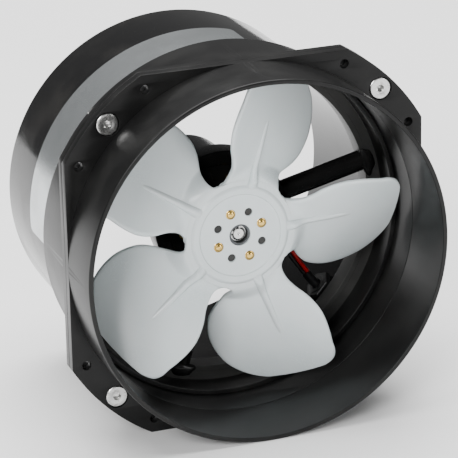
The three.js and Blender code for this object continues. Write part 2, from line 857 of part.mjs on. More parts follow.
function leadSleeve() {
  return new THREE.ExtrudeGeometry(roundShape(sleeveRadius, sleeveRadius - sleeveWall), {
    steps: 9,
    curveSegments: 6,
    bevelEnabled: false,
    extrudePath: new THREE.CatmullRomCurve3(leadRoute.slice(5)),
  });
}

add("lead_red", lead(-leadPitch / 2), finishes.redInsulation);
add("lead_black", lead(leadPitch / 2), finishes.blackInsulation);
add("lead_sleeve", leadSleeve(), finishes.blackInsulation);

// A turned or hexagonal piece on the gland's own axis, from one distance off the fan's axis to another.
function glandPiece(outline, bore) {
  const pieces = outline.map(([radius, inner, outer, sides]) =>
    radialBar(radius, inner, outer, glandSetback, glandAngle, sides));
  const last = outline[outline.length - 1][2];
  return join(pieces, [radialBar(bore, outline[0][1] - 1, last + 1, glandSetback, glandAngle, 20)]);
}

const hexCorner = glandHex / Math.sqrt(3);
const glandSeat = tubeRadius + 0.4;
add("cable_gland_body", glandPiece([
  [glandBarrel, tubeBore - 5, glandSeat + 0.5, smallSteps],
  [hexCorner, glandSeat, glandSeat + 4, 6],
  [glandBarrel, glandSeat + 3.5, glandSeat + 8, smallSteps],
], glandBore), finishes.blackPlastic);
add("cable_gland_locknut", glandPiece([
  [hexCorner, tubeBore - 4.6, tubeBore - 0.8, 6],
], glandBarrel + fitGap), finishes.blackPlastic);
add("cable_gland_cap", cut(
  join([
    radialBar(hexCorner, glandSeat + 4.3, glandSeat + 10, glandSetback, glandAngle, 6),
    radialBar(hexCorner - 1.4, glandSeat + 9.5, glandSeat + 12.5, glandSetback, glandAngle, smallSteps),
  ]),
  [
    radialBar(glandBarrel + fitGap, glandSeat + 3, glandSeat + 8.3, glandSetback, glandAngle),
    radialBar(glandBore, glandSeat + 8, glandSeat + 14, glandSetback, glandAngle),
  ],
), finishes.blackPlastic);

const grommetRing = cut(
  radialBar(grommetRadius, motorRadius - motorWall - 0.8, motorRadius + 1.2, grommetStation, grommetAngle),
  [radialBar(leadPitch / 2 + leadRadius + fitGap, 20, 40, grommetStation, grommetAngle)],
);
add("lead_grommet", grommetRing, finishes.blackPlastic);

export default fan;
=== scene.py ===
"""Finished looks of an inline duct fan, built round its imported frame.

The fan's axis runs along Y. Sizes here are in millimetres measured from that axis and from the flange's
front face; the bench turns them into metres in the frame.
"""

from __future__ import annotations

import json
import logging
import math
from dataclasses import dataclass, field
from enum import Enum
from typing import Any, Callable, Iterable, Sequence

import bmesh
import bpy
from mathutils import Matrix, Vector


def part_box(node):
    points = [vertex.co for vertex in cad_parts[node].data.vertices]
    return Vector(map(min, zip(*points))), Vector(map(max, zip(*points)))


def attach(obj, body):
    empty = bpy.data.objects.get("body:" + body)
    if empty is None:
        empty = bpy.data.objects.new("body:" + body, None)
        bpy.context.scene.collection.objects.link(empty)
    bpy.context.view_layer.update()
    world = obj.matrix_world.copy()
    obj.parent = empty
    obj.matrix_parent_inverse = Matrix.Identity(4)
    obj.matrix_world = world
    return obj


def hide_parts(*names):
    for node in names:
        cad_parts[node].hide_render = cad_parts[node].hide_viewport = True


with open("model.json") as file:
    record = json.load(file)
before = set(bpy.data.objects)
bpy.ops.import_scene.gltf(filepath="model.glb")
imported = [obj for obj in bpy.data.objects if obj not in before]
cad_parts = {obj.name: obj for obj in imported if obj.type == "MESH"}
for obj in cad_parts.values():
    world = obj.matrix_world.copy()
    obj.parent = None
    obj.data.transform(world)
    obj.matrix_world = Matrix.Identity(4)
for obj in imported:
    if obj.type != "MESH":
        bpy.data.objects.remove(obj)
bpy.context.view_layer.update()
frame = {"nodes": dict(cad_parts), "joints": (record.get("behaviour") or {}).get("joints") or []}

log = logging.getLogger("duct_fan")

MM = 0.001
RIM_AHEAD = 35.0  # from the front rim back to the flange's front face
Profile = Sequence[tuple[float, float]]


def half_width(node: str) -> float:
    """Returns half a node's width across the axis, in millimetres."""
    low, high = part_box(node)
    return round((high.x - low.x) / 2 / MM, 3)


def stations(node: str) -> tuple[float, float]:
    """Finds how far a node's ends are behind the flange's front face.

    Args:
        node: The CAD node's name.

    Returns:
        The distances of its front and of its back, in millimetres.
    """
    low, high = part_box(node)
    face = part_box("front_housing")[0].y + RIM_AHEAD * MM
    return round((low.y - face) / MM, 3), round((high.y - face) / MM, 3)


def from_frame(measure: Callable[[], float]) -> Any:
    """Returns a dataclass field whose value is read from the frame when it is built."""
    return field(default_factory=measure)


class Body(Enum):
    """The rigid bodies that pieces ride on."""

    HOUSING = "housing"
    ROTOR = "rotor"


class Facing(Enum):
    """How a repeated part is turned at its place on a circle."""

    KEEP = 0.0
    OUTWARD = 1.0


# ---------------------------------------------------------------- shader maths


class Value:
    """A shader socket that can be used in Python expressions."""

    def __init__(self, tree: "Shader", socket: bpy.types.NodeSocket) -> None:
        """Keeps the socket and the shader it belongs to."""
        self.tree = tree
        self.socket = socket

    def _math(self, operation: str, *values: Any) -> "Value":
        """Adds a Math node with these inputs."""
        return self.tree.node("ShaderNodeMath", {"operation": operation}, dict(enumerate(values)))

    def __add__(self, other: Any) -> "Value":
        """Returns the sum."""
        return self._math("ADD", self, other)

    __radd__ = __add__

    def __sub__(self, other: Any) -> "Value":
        """Returns the difference."""
        return self._math("SUBTRACT", self, other)

    def __rsub__(self, other: Any) -> "Value":
        """Returns the difference, with this value taken away."""
        return self._math("SUBTRACT", other, self)

    def __mul__(self, other: Any) -> "Value":
        """Returns the product."""
        return self._math("MULTIPLY", self, other)

    __rmul__ = __mul__

    def root(self) -> "Value":
        """Returns the square root."""
        return self._math("SQRT", self)

    def spread(self, low: float, high: float, start: float = 0.0, end: float = 1.0) -> "Value":
        """Maps low..high to start..end and holds it there.

        Args:
            low: Value that gives start.
            high: Value that gives end.
            start: Result at low.
            end: Result at high.

        Returns:
            The mapped value.
        """
        inputs = {"Value": self, "From Min": low, "From Max": high, "To Min": start, "To Max": end}
        return self.tree.node("ShaderNodeMapRange", {"interpolation_type": "SMOOTHSTEP"}, inputs)


class Shader:
    """A material and the tools that build its nodes."""

    def __init__(self, name: str) -> None:
        """Makes an empty material with a Principled surface."""
        self.material = bpy.data.materials.new(name)
        self.material.use_nodes = True
        self.nodes = self.material.node_tree.nodes
        self.links = self.material.node_tree.links
        self.nodes.clear()
        self.surface = self.nodes.new("ShaderNodeBsdfPrincipled")
        output = self.nodes.new("ShaderNodeOutputMaterial")
        self.links.new(self.surface.outputs["BSDF"], output.inputs["Surface"])

    def feed(self, socket: bpy.types.NodeSocket, value: Any) -> None:
        """Links a value to a socket, or sets the socket's own number or colour."""
        if isinstance(value, Value):
            self.links.new(value.socket, socket)
        else:
            socket.default_value = value

    def node(self, kind: str, settings: dict[str, Any], inputs: dict[Any, Any], output: Any = 0) -> Value:
        """Adds one node.

        Args:
            kind: The node's type.
            settings: Its own settings; a ramp's stops go under "stops".
            inputs: Values or links by socket name or number.
            output: The output to return.

        Returns:
            The chosen output as a value.
        """
        made = self.nodes.new(kind)
        for key, value in settings.items():
            if key == "stops":
                self._ramp(made.color_ramp, value)
            else:
                setattr(made, key, value)
        for key, value in inputs.items():
            self.feed(made.inputs[key], value)
        return Value(self, made.outputs[output])

    @staticmethod
    def _ramp(ramp: bpy.types.ColorRamp, stops: Sequence[tuple[float, float]]) -> None:
        """Sets a grey ramp's stops."""
        while len(ramp.elements) < len(stops):
            ramp.elements.new(0.5)
        for element, (place, level) in zip(ramp.elements, stops):
            element.position = place
            element.color = (level, level, level, 1)

    def noise(self, scale: float, detail: float = 3.0, where: Value | None = None) -> Value:
        """Adds a noise pattern of a given scale on Object coordinates, or on another place."""
        inputs = {"Vector": where or self.place(), "Scale": scale, "Detail": detail}
        return self.node("ShaderNodeTexNoise", {"noise_dimensions": "3D"}, inputs, "Fac")

    def place(self) -> Value:
        """Returns Object coordinates."""
        return self.node("ShaderNodeTexCoord", {}, {}, "Object")

    def tone(self, mask: Value, low: Sequence[float], high: Sequence[float]) -> Value:
        """Mixes two colours by a mask.

        Args:
            mask: 0 for low, 1 for high.
            low: First colour.
            high: Second colour.

        Returns:
            The mixed colour.
        """
        inputs = {"Factor": mask, 6: (*low, 1), 7: (*high, 1)}
        return self.node("ShaderNodeMix", {"data_type": "RGBA"}, inputs, 2)

    def turning(self, pitch: float, centre: Vector) -> Value:
        """Gives the fine rings that a lathe leaves round the fan's axis.

        Args:
            pitch: Number of rings in a metre.
            centre: A point on the axis.

        Returns:
            A ring pattern from 0 to 1.
        """
        parts = self.nodes.new("ShaderNodeSeparateXYZ")
        self.links.new(self.place().socket, parts.inputs[0])
        across = Value(self, parts.outputs[0]) - centre.x
        up = Value(self, parts.outputs[2]) - centre.z
        radius = (across * across + up * up).root()
        rings = self.node("ShaderNodeCombineXYZ", {}, {0: radius, 1: Value(self, parts.outputs[1]), 2: 0.0})
        return self.noise(pitch, 2.0, rings)

    def bump(self, height: Value, depth: float, distance: float) -> None:
        """Raises the surface by a height pattern.

        Args:
            height: The pattern.
            depth: Strength of the relief, 0 to 1.
            distance: Height of a full step in metres.
        """
        inputs = {"Height": height, "Strength": depth, "Distance": distance}
        self.feed(self.surface.inputs["Normal"], self.node("ShaderNodeBump", {}, inputs))

    def set(self, **values: Any) -> None:
        """Feeds the surface's sockets; underscores in names stand for spaces."""
        for key, value in values.items():
            self.feed(self.surface.inputs[key.replace("_", " ").title().replace("Ior", "IOR")], value)


@dataclass(frozen=True)
class TurnedPlastic:
    """Dark plastic turned on a lathe: fine rings, handling marks and a little dust."""

    name: str
    colour: tuple[float, float, float] = (0.0065, 0.0065, 0.0065)
    worn: tuple[float, float, float] = (0.016, 0.016, 0.0155)
    rough: float = 0.3
    rough_worn: float = 0.38
    relief: float = 0.10

    def build(self, centre: Vector) -> bpy.types.Material:
        """Returns the material; centre is a point on the fan's axis."""
        shader = Shader(self.name)
        rings = shader.turning(1500.0, centre)
        broad = shader.turning(260.0, centre)
        smudge = shader.noise(38.0, 5.0).spread(0.40, 0.68)
        dust = shader.noise(900.0, 2.0).spread(0.66, 0.78)
        wear = smudge * 0.6 + dust * 0.5
        shader.set(base_color=shader.tone(wear, self.colour, self.worn))
        shader.set(roughness=wear * (self.rough_worn - self.rough) + rings * 0.08 + (self.rough - 0.04))
        shader.set(specular_ior_level=0.2)
        shader.bump(rings * 0.6 + broad * 0.5 + smudge * 0.3, self.relief, 0.0002)
        return shader.material


@dataclass(frozen=True)
class Lacquer:
    """Glossy black lacquer with faint flow marks and fine scratches."""

    name: str
    colour: tuple[float, float, float] = (0.006, 0.006, 0.0062)
    rough: float = 0.10

    def build(self) -> bpy.types.Material:
        """Returns the material."""
        shader = Shader(self.name)
        flow = shader.noise(110.0, 2.0)
        smudge = shader.noise(30.0, 6.0).spread(0.45, 0.75)
        speck = shader.noise(1400.0, 1.0).spread(0.70, 0.80)
        shader.set(base_color=shader.tone(smudge * 0.5 + speck * 0.6, self.colour, (0.025, 0.024, 0.022)))
        shader.set(roughness=smudge * 0.14 + speck * 0.2 + self.rough)
        shader.set(specular_ior_level=0.16)
        shader.bump(flow * 0.9 + speck * 0.2, 0.05, 0.0004)
        return shader.material


@dataclass(frozen=True)
class MouldedNylon:
    """Milky moulded plastic: slightly translucent, soft sheen, faint flow clouds."""

    name: str
    colour: tuple[float, float, float] = (0.70, 0.755, 0.765)
    cloud: tuple[float, float, float] = (0.62, 0.69, 0.70)

    def build(self) -> bpy.types.Material:
        """Returns the material."""
        shader = Shader(self.name)
        clouds = shader.noise(26.0, 4.0).spread(0.35, 0.70)
        grain = shader.noise(1100.0, 2.0)
        specks = shader.noise(520.0, 1.0).spread(0.74, 0.80)
        shader.set(base_color=shader.tone(clouds * 0.8 + specks * 0.3, self.colour, self.cloud))
        shader.set(roughness=clouds * 0.05 + grain * 0.05 + 0.2)
        shader.set(subsurface_weight=0.12, subsurface_radius=(0.006, 0.007, 0.007), subsurface_scale=0.5)
        shader.bump(grain * 0.4 + clouds * 0.6, 0.08, 0.0003)
        return shader.material


@dataclass(frozen=True)
class Metal:
    """Bare metal with tool marks, tarnish in patches and a bright body."""

    name: str
    colour: tuple[float, float, float]
    tarnish: tuple[float, float, float]
    rough: float = 0.24
    marks: float = 7000.0

    def build(self) -> bpy.types.Material:
        """Returns the material."""
        shader = Shader(self.name)
        marks = shader.noise(self.marks, 2.0)
        patches = shader.noise(420.0, 4.0).spread(0.50, 0.80)
        shader.set(base_color=shader.tone(patches, self.colour, self.tarnish), metallic=1.0)
        shader.set(roughness=patches * 0.16 + marks * 0.12 + (self.rough - 0.06))
        shader.bump(marks, 0.06, 0.00005)
        return shader.material


@dataclass(frozen=True)
class Film:
    """A printed label's satin silver film, with fine brushing along the tube."""

    name: str
    colour: tuple[float, float, float] = (0.62, 0.65, 0.66)
    shade: tuple[float, float, float] = (0.50, 0.53, 0.54)

    def build(self) -> bpy.types.Material:
        """Returns the material."""
        shader = Shader(self.name)
        stretch = shader.node("ShaderNodeMapping", {}, {"Vector": shader.place(), "Scale": (1.0, 0.03,
                                                                                            1.0)})
        brush = shader.noise(2200.0, 2.0, stretch)
        blotch = shader.noise(60.0, 3.0).spread(0.4, 0.7)
        shader.set(base_color=shader.tone(blotch * 0.5 + brush * 0.4, self.colour, self.shade))
        shader.set(metallic=0.9, roughness=brush * 0.10 + blotch * 0.05 + 0.15)
        shader.bump(brush, 0.12, 0.00006)
        return shader.material


@dataclass(frozen=True)
class Insulation:
    """Smooth flexible insulation, with a slight ripple and rubbed patches."""

    name: str
    colour: tuple[float, float, float]
    rubbed: tuple[float, float, float]
    rough: float = 0.3

    def build(self) -> bpy.types.Material:
        """Returns the material."""
        shader = Shader(self.name)
        ripple = shader.noise(700.0, 2.0)
        patches = shader.noise(150.0, 3.0).spread(0.45, 0.75)
        shader.set(base_color=shader.tone(patches, self.colour, self.rubbed))
        shader.set(roughness=patches * 0.15 + ripple * 0.1 + (self.rough - 0.05))
        shader.bump(ripple, 0.15, 0.0002)
        return shader.material


# ---------------------------------------------------------------- geometry nodes


class NodeShop:
    """Builds the geometry-node trees that repeat a part or sweep a section."""

    def __init__(self, name: str, inputs: Sequence[tuple[str, str]]) -> None:
        """Makes an empty tree with a geometry input and these named inputs of these kinds."""
        self.tree = bpy.data.node_groups.new(name, "GeometryNodeTree")
        face = self.tree.interface
        face.new_socket("Geometry", in_out="INPUT", socket_type="NodeSocketGeometry")
        for label, kind in inputs:
            face.new_socket(label, in_out="INPUT", socket_type=kind)
        face.new_socket("Geometry", in_out="OUTPUT", socket_type="NodeSocketGeometry")
        self.given = self.tree.nodes.new("NodeGroupInput").outputs
        self.result = self.tree.nodes.new("NodeGroupOutput").inputs[0]

    def add(self, kind: str, inputs: dict[Any, Any], output: Any = 0, **settings: Any) -> Any:
        """Adds a node.

        Args:
            kind: The node's type.
            inputs: Links or values by socket.
            output: The output to return.
            **settings: The node's own settings.

        Returns:
            The chosen output socket.
        """
        made = self.tree.nodes.new(kind)
        for key, value in settings.items():
            setattr(made, key, value)
        for key, value in inputs.items():
            if isinstance(value, bpy.types.NodeSocket):
                self.tree.links.new(value, made.inputs[key])
            else:
                made.inputs[key].default_value = value
        return made.outputs[output]

    def math(self, operation: str, first: Any, second: Any = 0.0) -> Any:
        """Adds a Math node and returns its output."""
        return self.add("ShaderNodeMath", {0: first, 1: second}, operation=operation)

    def close(self, geometry: Any, material: Any) -> bpy.types.GeometryNodeTree:
        """Ends the tree in realized instances and a material, and returns it."""
        real = self.add("GeometryNodeRealizeInstances", {0: geometry})
        dressed = self.add("GeometryNodeSetMaterial", {"Geometry": real, "Material": material})
        self.tree.links.new(dressed, self.result)
        return self.tree


def ring_tree() -> bpy.types.GeometryNodeTree:
    """Makes the tree that repeats a part round the fan's axis.

    Returns:
        The tree, with the inputs Part, Count, Radius, First, Centre, Follow, Scatter and Finish.
    """
    shop = NodeShop("ring_of_parts", [
        ("Part", "NodeSocketObject"), ("Count", "NodeSocketInt"), ("Radius", "NodeSocketFloat"),
        ("First", "NodeSocketFloat"), ("Centre", "NodeSocketVector"), ("Follow", "NodeSocketFloat"),
        ("Scatter", "NodeSocketFloat"), ("Finish", "NodeSocketMaterial")])
    given = shop.given
    index = shop.add("GeometryNodeInputIndex", {})
    share = shop.math("DIVIDE", index, given["Count"])
    angle = shop.math("ADD", shop.math("MULTIPLY", share, math.tau), given["First"])
    across = shop.math("MULTIPLY", shop.math("COSINE", angle), given["Radius"])
    up = shop.math("MULTIPLY", shop.math("SINE", angle), given["Radius"])
    offset = shop.add("ShaderNodeCombineXYZ", {0: across, 2: up})
    spot = shop.add("ShaderNodeVectorMath", {0: offset, 1: given["Centre"]}, operation="ADD")
    points = shop.add("GeometryNodePoints", {"Count": given["Count"], "Position": spot})
    chance = shop.add("FunctionNodeRandomValue", {2: -1.0, 3: 1.0, "Seed": 7}, 1)
    facing = shop.math("MULTIPLY", shop.math("MULTIPLY", angle, -1.0), given["Follow"])
    turn = shop.math("ADD", facing, shop.math("MULTIPLY", chance, given["Scatter"]))
    rotation = shop.add("ShaderNodeCombineXYZ", {1: turn})
    part = shop.add("GeometryNodeObjectInfo", {"Object": given["Part"]}, "Geometry")
    placed = shop.add("GeometryNodeInstanceOnPoints", {"Points": points, "Instance": part,
                                                       "Rotation": rotation})
    return shop.close(placed, given["Finish"])


def sweep_tree() -> bpy.types.GeometryNodeTree:
    """Makes the tree that runs a round section along a curve.

    Returns:
        The tree, with the inputs Radius, Flatten, Rounds, Steps and Finish.
    """
    shop = NodeShop("swept_round", [
        ("Radius", "NodeSocketFloat"), ("Flatten", "NodeSocketFloat"), ("Rounds", "NodeSocketInt"),
        ("Steps", "NodeSocketInt"), ("Finish", "NodeSocketMaterial")])
    given = shop.given
    path = shop.add("GeometryNodeResampleCurve", {"Curve": given["Geometry"], "Count": given["Steps"]})
    circle = shop.add("GeometryNodeCurvePrimitiveCircle", {"Resolution": given["Rounds"],
                                                           "Radius": given["Radius"]})
    squash = shop.add("ShaderNodeCombineXYZ", {0: given["Flatten"], 1: 1.0, 2: 1.0})
    section = shop.add("GeometryNodeTransform", {"Geometry": circle, "Scale": squash})
    tube = shop.add("GeometryNodeCurveToMesh", {"Curve": path, "Profile Curve": section, "Fill Caps": True})
    smooth = shop.add("GeometryNodeSetShadeSmooth", {"Geometry": tube})
    return shop.close(smooth, given["Finish"])


# ---------------------------------------------------------------- the bench


@dataclass
class Mesh:
    """Points and faces in the bench's millimetres."""

    points: list[tuple[float, float, float]] = field(default_factory=list)
    faces: list[tuple[int, ...]] = field(default_factory=list)

    def join(self, other: "Mesh") -> "Mesh":
        """Returns this mesh and another as one."""
        base = len(self.points)
        moved = [tuple(corner + base for corner in face) for face in other.faces]
        return Mesh(self.points + other.points, self.faces + moved)


def revolve(profile: Profile, steps: int, hex_sided: bool = False) -> Mesh:
    """Turns a profile about Y.

    Args:
        profile: (radius, y) pairs; it starts and ends on the axis, or closes on itself.
        steps: Faces around.
        hex_sided: Gives flats across instead of a round.

    Returns:
        A closed mesh.
    """
    closed = profile[0][0] > 1e-9
    mesh = Mesh()
    rows: list[list[int]] = []
    for radius, y in profile:
        if radius < 1e-9:
            mesh.points.append((0.0, y, 0.0))
            rows.append([len(mesh.points) - 1] * steps)
            continue
        start = len(mesh.points)
        for step in range(steps):
            angle = math.tau * (step + (0.5 if hex_sided else 0.0)) / steps
            mesh.points.append((radius * math.cos(angle), y, radius * math.sin(angle)))
        rows.append(list(range(start, start + steps)))
    pairs = list(zip(rows, rows[1:]))
    if closed:
        pairs.append((rows[-1], rows[0]))
    for low, high in pairs:
        for step in range(steps):
            after = (step + 1) % steps
            face = dict.fromkeys((low[step], high[step], high[after], low[after]))
            if len(face) > 2:
                mesh.faces.append(tuple(face))
    return mesh


def rounded(corners: Sequence[tuple[float, float, float]], steps: int = 4) -> list[tuple[float, float]]:
    """Rounds the corners of a closed or open profile.

    Args:
        corners: (radius, y, rounding) triples.
        steps: Pieces in each rounding.

    Returns:
        The profile's points.
    """
    points: list[tuple[float, float]] = []
    count = len(corners)
    for index, (x, y, rounding) in enumerate(corners):
        here = Vector((x, y))
        if rounding <= 0:
            points.append((x, y))
            continue
        before = Vector(corners[(index - 1) % count][:2]) - here
        after = Vector(corners[(index + 1) % count][:2]) - here
        start = here + before.normalized() * rounding
        end = here + after.normalized() * rounding
        for step in range(steps + 1):
            t = step / steps
            point = start * (1 - t) ** 2 + here * (2 * t * (1 - t)) + end * t**2
            points.append((point.x, point.y))
    return points


class Bench:
    """Turns millimetre meshes into finished pieces of the frame."""

    def __init__(self) -> None:
        """Reads the axis and the flange's front face from the frame."""
        low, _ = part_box("front_housing")
        joint = next(j for j in frame["joints"] if j["name"] == "impeller_spin")
        axis = Vector(joint["pos_m"])
        self.origin = Vector((axis.x, low.y + RIM_AHEAD * MM, axis.z))
        self.ring = ring_tree()
        self.sweep = sweep_tree()
        self.collection = bpy.context.scene.collection

    def at(self, x: float, y: float, z: float) -> Vector:
        """Returns a bench point in the frame's metres."""
        return self.origin + Vector((x, y, z)) * MM

    def raw(self, name: str, mesh: Mesh, local: bool = False) -> bpy.types.Object:
        """Makes an object from a mesh.

        Args:
            name: The object's name.
            mesh: Points and faces.
            local: Keeps the part about its own origin, as a template for repeats.

        Returns:
            The object.
        """
        data = bpy.data.meshes.new(name)
        place = (lambda p: Vector(p) * MM) if local else (lambda p: self.at(*p))
        data.from_pydata([place(p) for p in mesh.points], [], mesh.faces)
        made = bpy.data.objects.new(name, data)
        self.collection.objects.link(made)
        self.tidy(made)
        return made

    @staticmethod
    def tidy(made: bpy.types.Object, angle: float = 34.0, merge: float = 1e-7) -> None:
        """Merges doubles, points faces outwards and marks edges sharper than an angle."""
        work = bmesh.new()
        work.from_mesh(made.data)
        bmesh.ops.remove_doubles(work, verts=work.verts, dist=merge)
        bmesh.ops.recalc_face_normals(work, faces=work.faces)
        for face in work.faces:
            face.smooth = True
        for edge in work.edges:
            edge.smooth = edge.calc_face_angle(0.0) < math.radians(angle)
        work.to_mesh(made.data)
        work.free()

    def flatten(self, made: bpy.types.Object) -> bpy.types.Object:
        """Turns an object and its modifiers into one plain mesh object of the same name."""
        bpy.context.view_layer.update()
        result = made.evaluated_get(bpy.context.evaluated_depsgraph_get())
        data = bpy.data.meshes.new_from_object(result)
        name = made.name
        self.drop(made)
        data.name = name
        plain = bpy.data.objects.new(name, data)
        self.collection.objects.link(plain)
        return plain

    @staticmethod
    def drop(made: bpy.types.Object) -> None:
        """Removes a helper object."""
        bpy.data.objects.remove(made, do_unlink=True)

    def cut(self, made: bpy.types.Object, tool: bpy.types.Object,
            operation: str = "DIFFERENCE") -> bpy.types.Object:
        """Applies a boolean with a tool, removes the tool and returns the plain result."""
        change = made.modifiers.new("cut", "BOOLEAN")
        change.operation = operation
        change.solver = "EXACT"
        change.object = tool
        plain = self.flatten(made)
        self.drop(tool)
        self.tidy(plain)
        return plain

    @staticmethod
    def settings(made: bpy.types.Object, tree: bpy.types.GeometryNodeTree, **values: Any) -> None:
        """Adds a geometry-node modifier and sets its inputs by identifier."""
        change = made.modifiers.new(tree.name, "NODES")
        change.node_group = tree
        names = {i.name: i.identifier for i in tree.interface.items_tree if i.in_out == "INPUT"}
        for key, value in values.items():
            change[names[key]] = value

    def repeat(self, name: str, part: bpy.types.Object, finish: bpy.types.Material, count: int,
               radius: float,
               first: float, station: float, facing: Facing, scatter: float = 0.0) -> bpy.types.Object:
        """Repeats a part round the fan's axis.

        Args:
            name: The piece's name.
            part: The template, about its own origin.
            finish: Its material.
            count: Number of repeats.
            radius: Radius of the circle they stand on.
            first: Angle of the first, in degrees.
            station: Distance behind the flange's front face.
            facing: How each is turned.
            scatter: Largest random turn, in degrees.

        Returns:
            The plain mesh piece.
        """
        carrier = bpy.data.objects.new(name, bpy.data.meshes.new(name))
        self.collection.objects.link(carrier)
        self.settings(carrier, self.ring, Part=part, Count=count, Radius=radius * MM,
                      First=math.radians(first),
                      Centre=tuple(self.at(0, station, 0)), Follow=facing.value,
                      Scatter=math.radians(scatter),
                      Finish=finish)
        plain = self.flatten(carrier)
        self.drop(part)
        return plain

    def run(self, name: str, route: Iterable[Vector], radius: float, finish: bpy.types.Material,
            flatten: float = 1.0, steps: int = 90) -> bpy.types.Object:
        """Sweeps a round section along a smooth route.

        Args:
            name: The piece's name.
            route: Points in the frame's metres.
            radius: Section radius in millimetres.
            finish: Its material.
            flatten: Width of the section for a height of 1.
            steps: Sections along the route.

        Returns:
            The plain mesh piece.
        """
        data = bpy.data.curves.new(name, "CURVE")
        data.dimensions = "3D"
        points = [*route]
        line = data.splines.new("NURBS")
        line.points.add(len(points) - 1)
        for spot, point in zip(line.points, points):
            spot.co = (*point, 1)
        line.order_u, line.resolution_u, line.use_endpoint_u = 4, 12, True
        carrier = bpy.data.objects.new(name, data)
        self.collection.objects.link(carrier)
        self.settings(carrier, self.sweep, Radius=radius * MM, Flatten=flatten, Rounds=20, Steps=steps,
                      Finish=finish)
        plain = self.flatten(carrier)
        self.tidy(plain, 50.0)
        return plain

    def plate(self, name: str, outline: Sequence[tuple[float, float]],
              holes: Sequence[tuple[float, float, float]],
              low: float, thickness: float, edge: float = 0.15) -> bpy.types.Object:
        """Makes a flat plate across the axis, with eased edges and round holes.

        Args:
            name: The piece's name.
            outline: (x, z) points.
            holes: (x, z, radius) for each hole.
            low: The front face's place along the axis.
            thickness: The plate's thickness.
            edge: Easing of every edge.

        Returns:
            The plain mesh piece.
        """
        data = bpy.data.curves.new(name, "CURVE")
        data.dimensions, data.fill_mode = "2D", "BOTH"
        data.extrude, data.bevel_depth, data.bevel_resolution = (thickness / 2 - edge) * MM, edge * MM, 2
        data.offset = -edge * MM
        loops = [list(outline)]
        for x, z, radius in holes:
            steps = max(32, int(radius * 2.6))
            loops.append([(x + radius * math.cos(math.tau * i / steps),
                           z + radius * math.sin(math.tau * i / steps))
                          for i in range(steps)])
        for loop in loops:
            line = data.splines.new("POLY")
            line.points.add(len(loop) - 1)
            for spot, (x, z) in zip(line.points, loop):
                spot.co = (x * MM, z * MM, 0, 1)
            line.use_cyclic_u = True
        flat = bpy.data.objects.new(name, data)
        self.collection.objects.link(flat)
        plain = self.flatten(flat)
        middle = self.at(0, low + thickness / 2, 0)
        plain.data.transform(Matrix.Translation(middle) @ Matrix.Rotation(math.pi / 2, 4, "X"))
        self.tidy(plain, 30.0, 2e-6)
        return plain

    def finish(self, made: bpy.types.Object, body: Body, finish: bpy.types.Material | None, slot: str,
               nodes: Sequence[str] = ()) -> None:
        """Args:
            made: The piece.
            body: The body it rides on.
            finish: Its material, or None where it already has one.
            slot: The record's material slot; not used.
            nodes: The frame nodes that it stands for.
        """
        if finish:
            made.data.materials.clear()
            made.data.materials.append(finish)
        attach(made, body.value)
        if nodes:
            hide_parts(*nodes)
        log.info("%s: %d faces", made.name, len(made.data.polygons))


@dataclass
class Palette:
    """Every finish of the fan, made once."""

    centre: Vector
    shell: bpy.types.Material = field(init=False)
    tube: bpy.types.Material = field(init=False)
    gloss: bpy.types.Material = field(init=False)
    nylon: bpy.types.Material = field(init=False)
    steel: bpy.types.Material = field(init=False)
    dark: bpy.types.Material = field(init=False)
    brass: bpy.types.Material = field(init=False)
    copper: bpy.types.Material = field(init=False)
    film: bpy.types.Material = field(init=False)
    red: bpy.types.Material = field(init=False)
    black: bpy.types.Material = field(init=False)
    moulded: bpy.types.Material = field(init=False)
    ring: bpy.types.Material = field(init=False)

    def __post_init__(self) -> None:
        """Builds the materials."""
        self.shell = TurnedPlastic("turned_black").build(self.centre)
        self.ring = TurnedPlastic("mount_grey", (0.030, 0.030, 0.029), (0.055, 0.054, 0.052),
                                  0.42).build(self.centre)
        self.tube = Lacquer("tube_lacquer").build()
        self.gloss = Lacquer("black_enamel", (0.008, 0.008, 0.008), 0.2).build()
        self.nylon = MouldedNylon("milky_nylon").build()
        self.steel = Metal("bright_steel", (0.60, 0.60, 0.59), (0.44, 0.43, 0.41)).build()
        self.dark = Metal("black_steel", (0.10, 0.105, 0.11), (0.05, 0.05, 0.05), 0.38).build()
        self.brass = Metal("yellow_brass", (0.70, 0.47, 0.14), (0.42, 0.27, 0.07), 0.22).build()
        self.copper = Metal("copper_wire", (0.75, 0.38, 0.22), (0.42, 0.19, 0.10), 0.3, 5200.0).build()
        self.film = Film("silver_film").build()
        self.red = Insulation("red_insulation", (0.80, 0.008, 0.010), (0.68, 0.012, 0.012)).build()
        # Gland moulding: black plastic, darkened past the leads' black as painted shade so the gland parts
        # read as the tube's shadow.
        self.moulded = Insulation("black_moulding", (0.004, 0.004, 0.004), (0.009, 0.009, 0.009),
                                  0.42).build()
        self.black = Insulation("black_insulation", (0.012, 0.012, 0.013), (0.03, 0.03, 0.03)).build()


def polar(radius: float, degrees: float) -> tuple[float, float]:
    """Returns a point on a circle, anticlockwise from +X as seen from the inlet."""
    angle = math.radians(degrees)
    return radius * math.cos(angle), radius * math.sin(angle)


# ---------------------------------------------------------------- housing


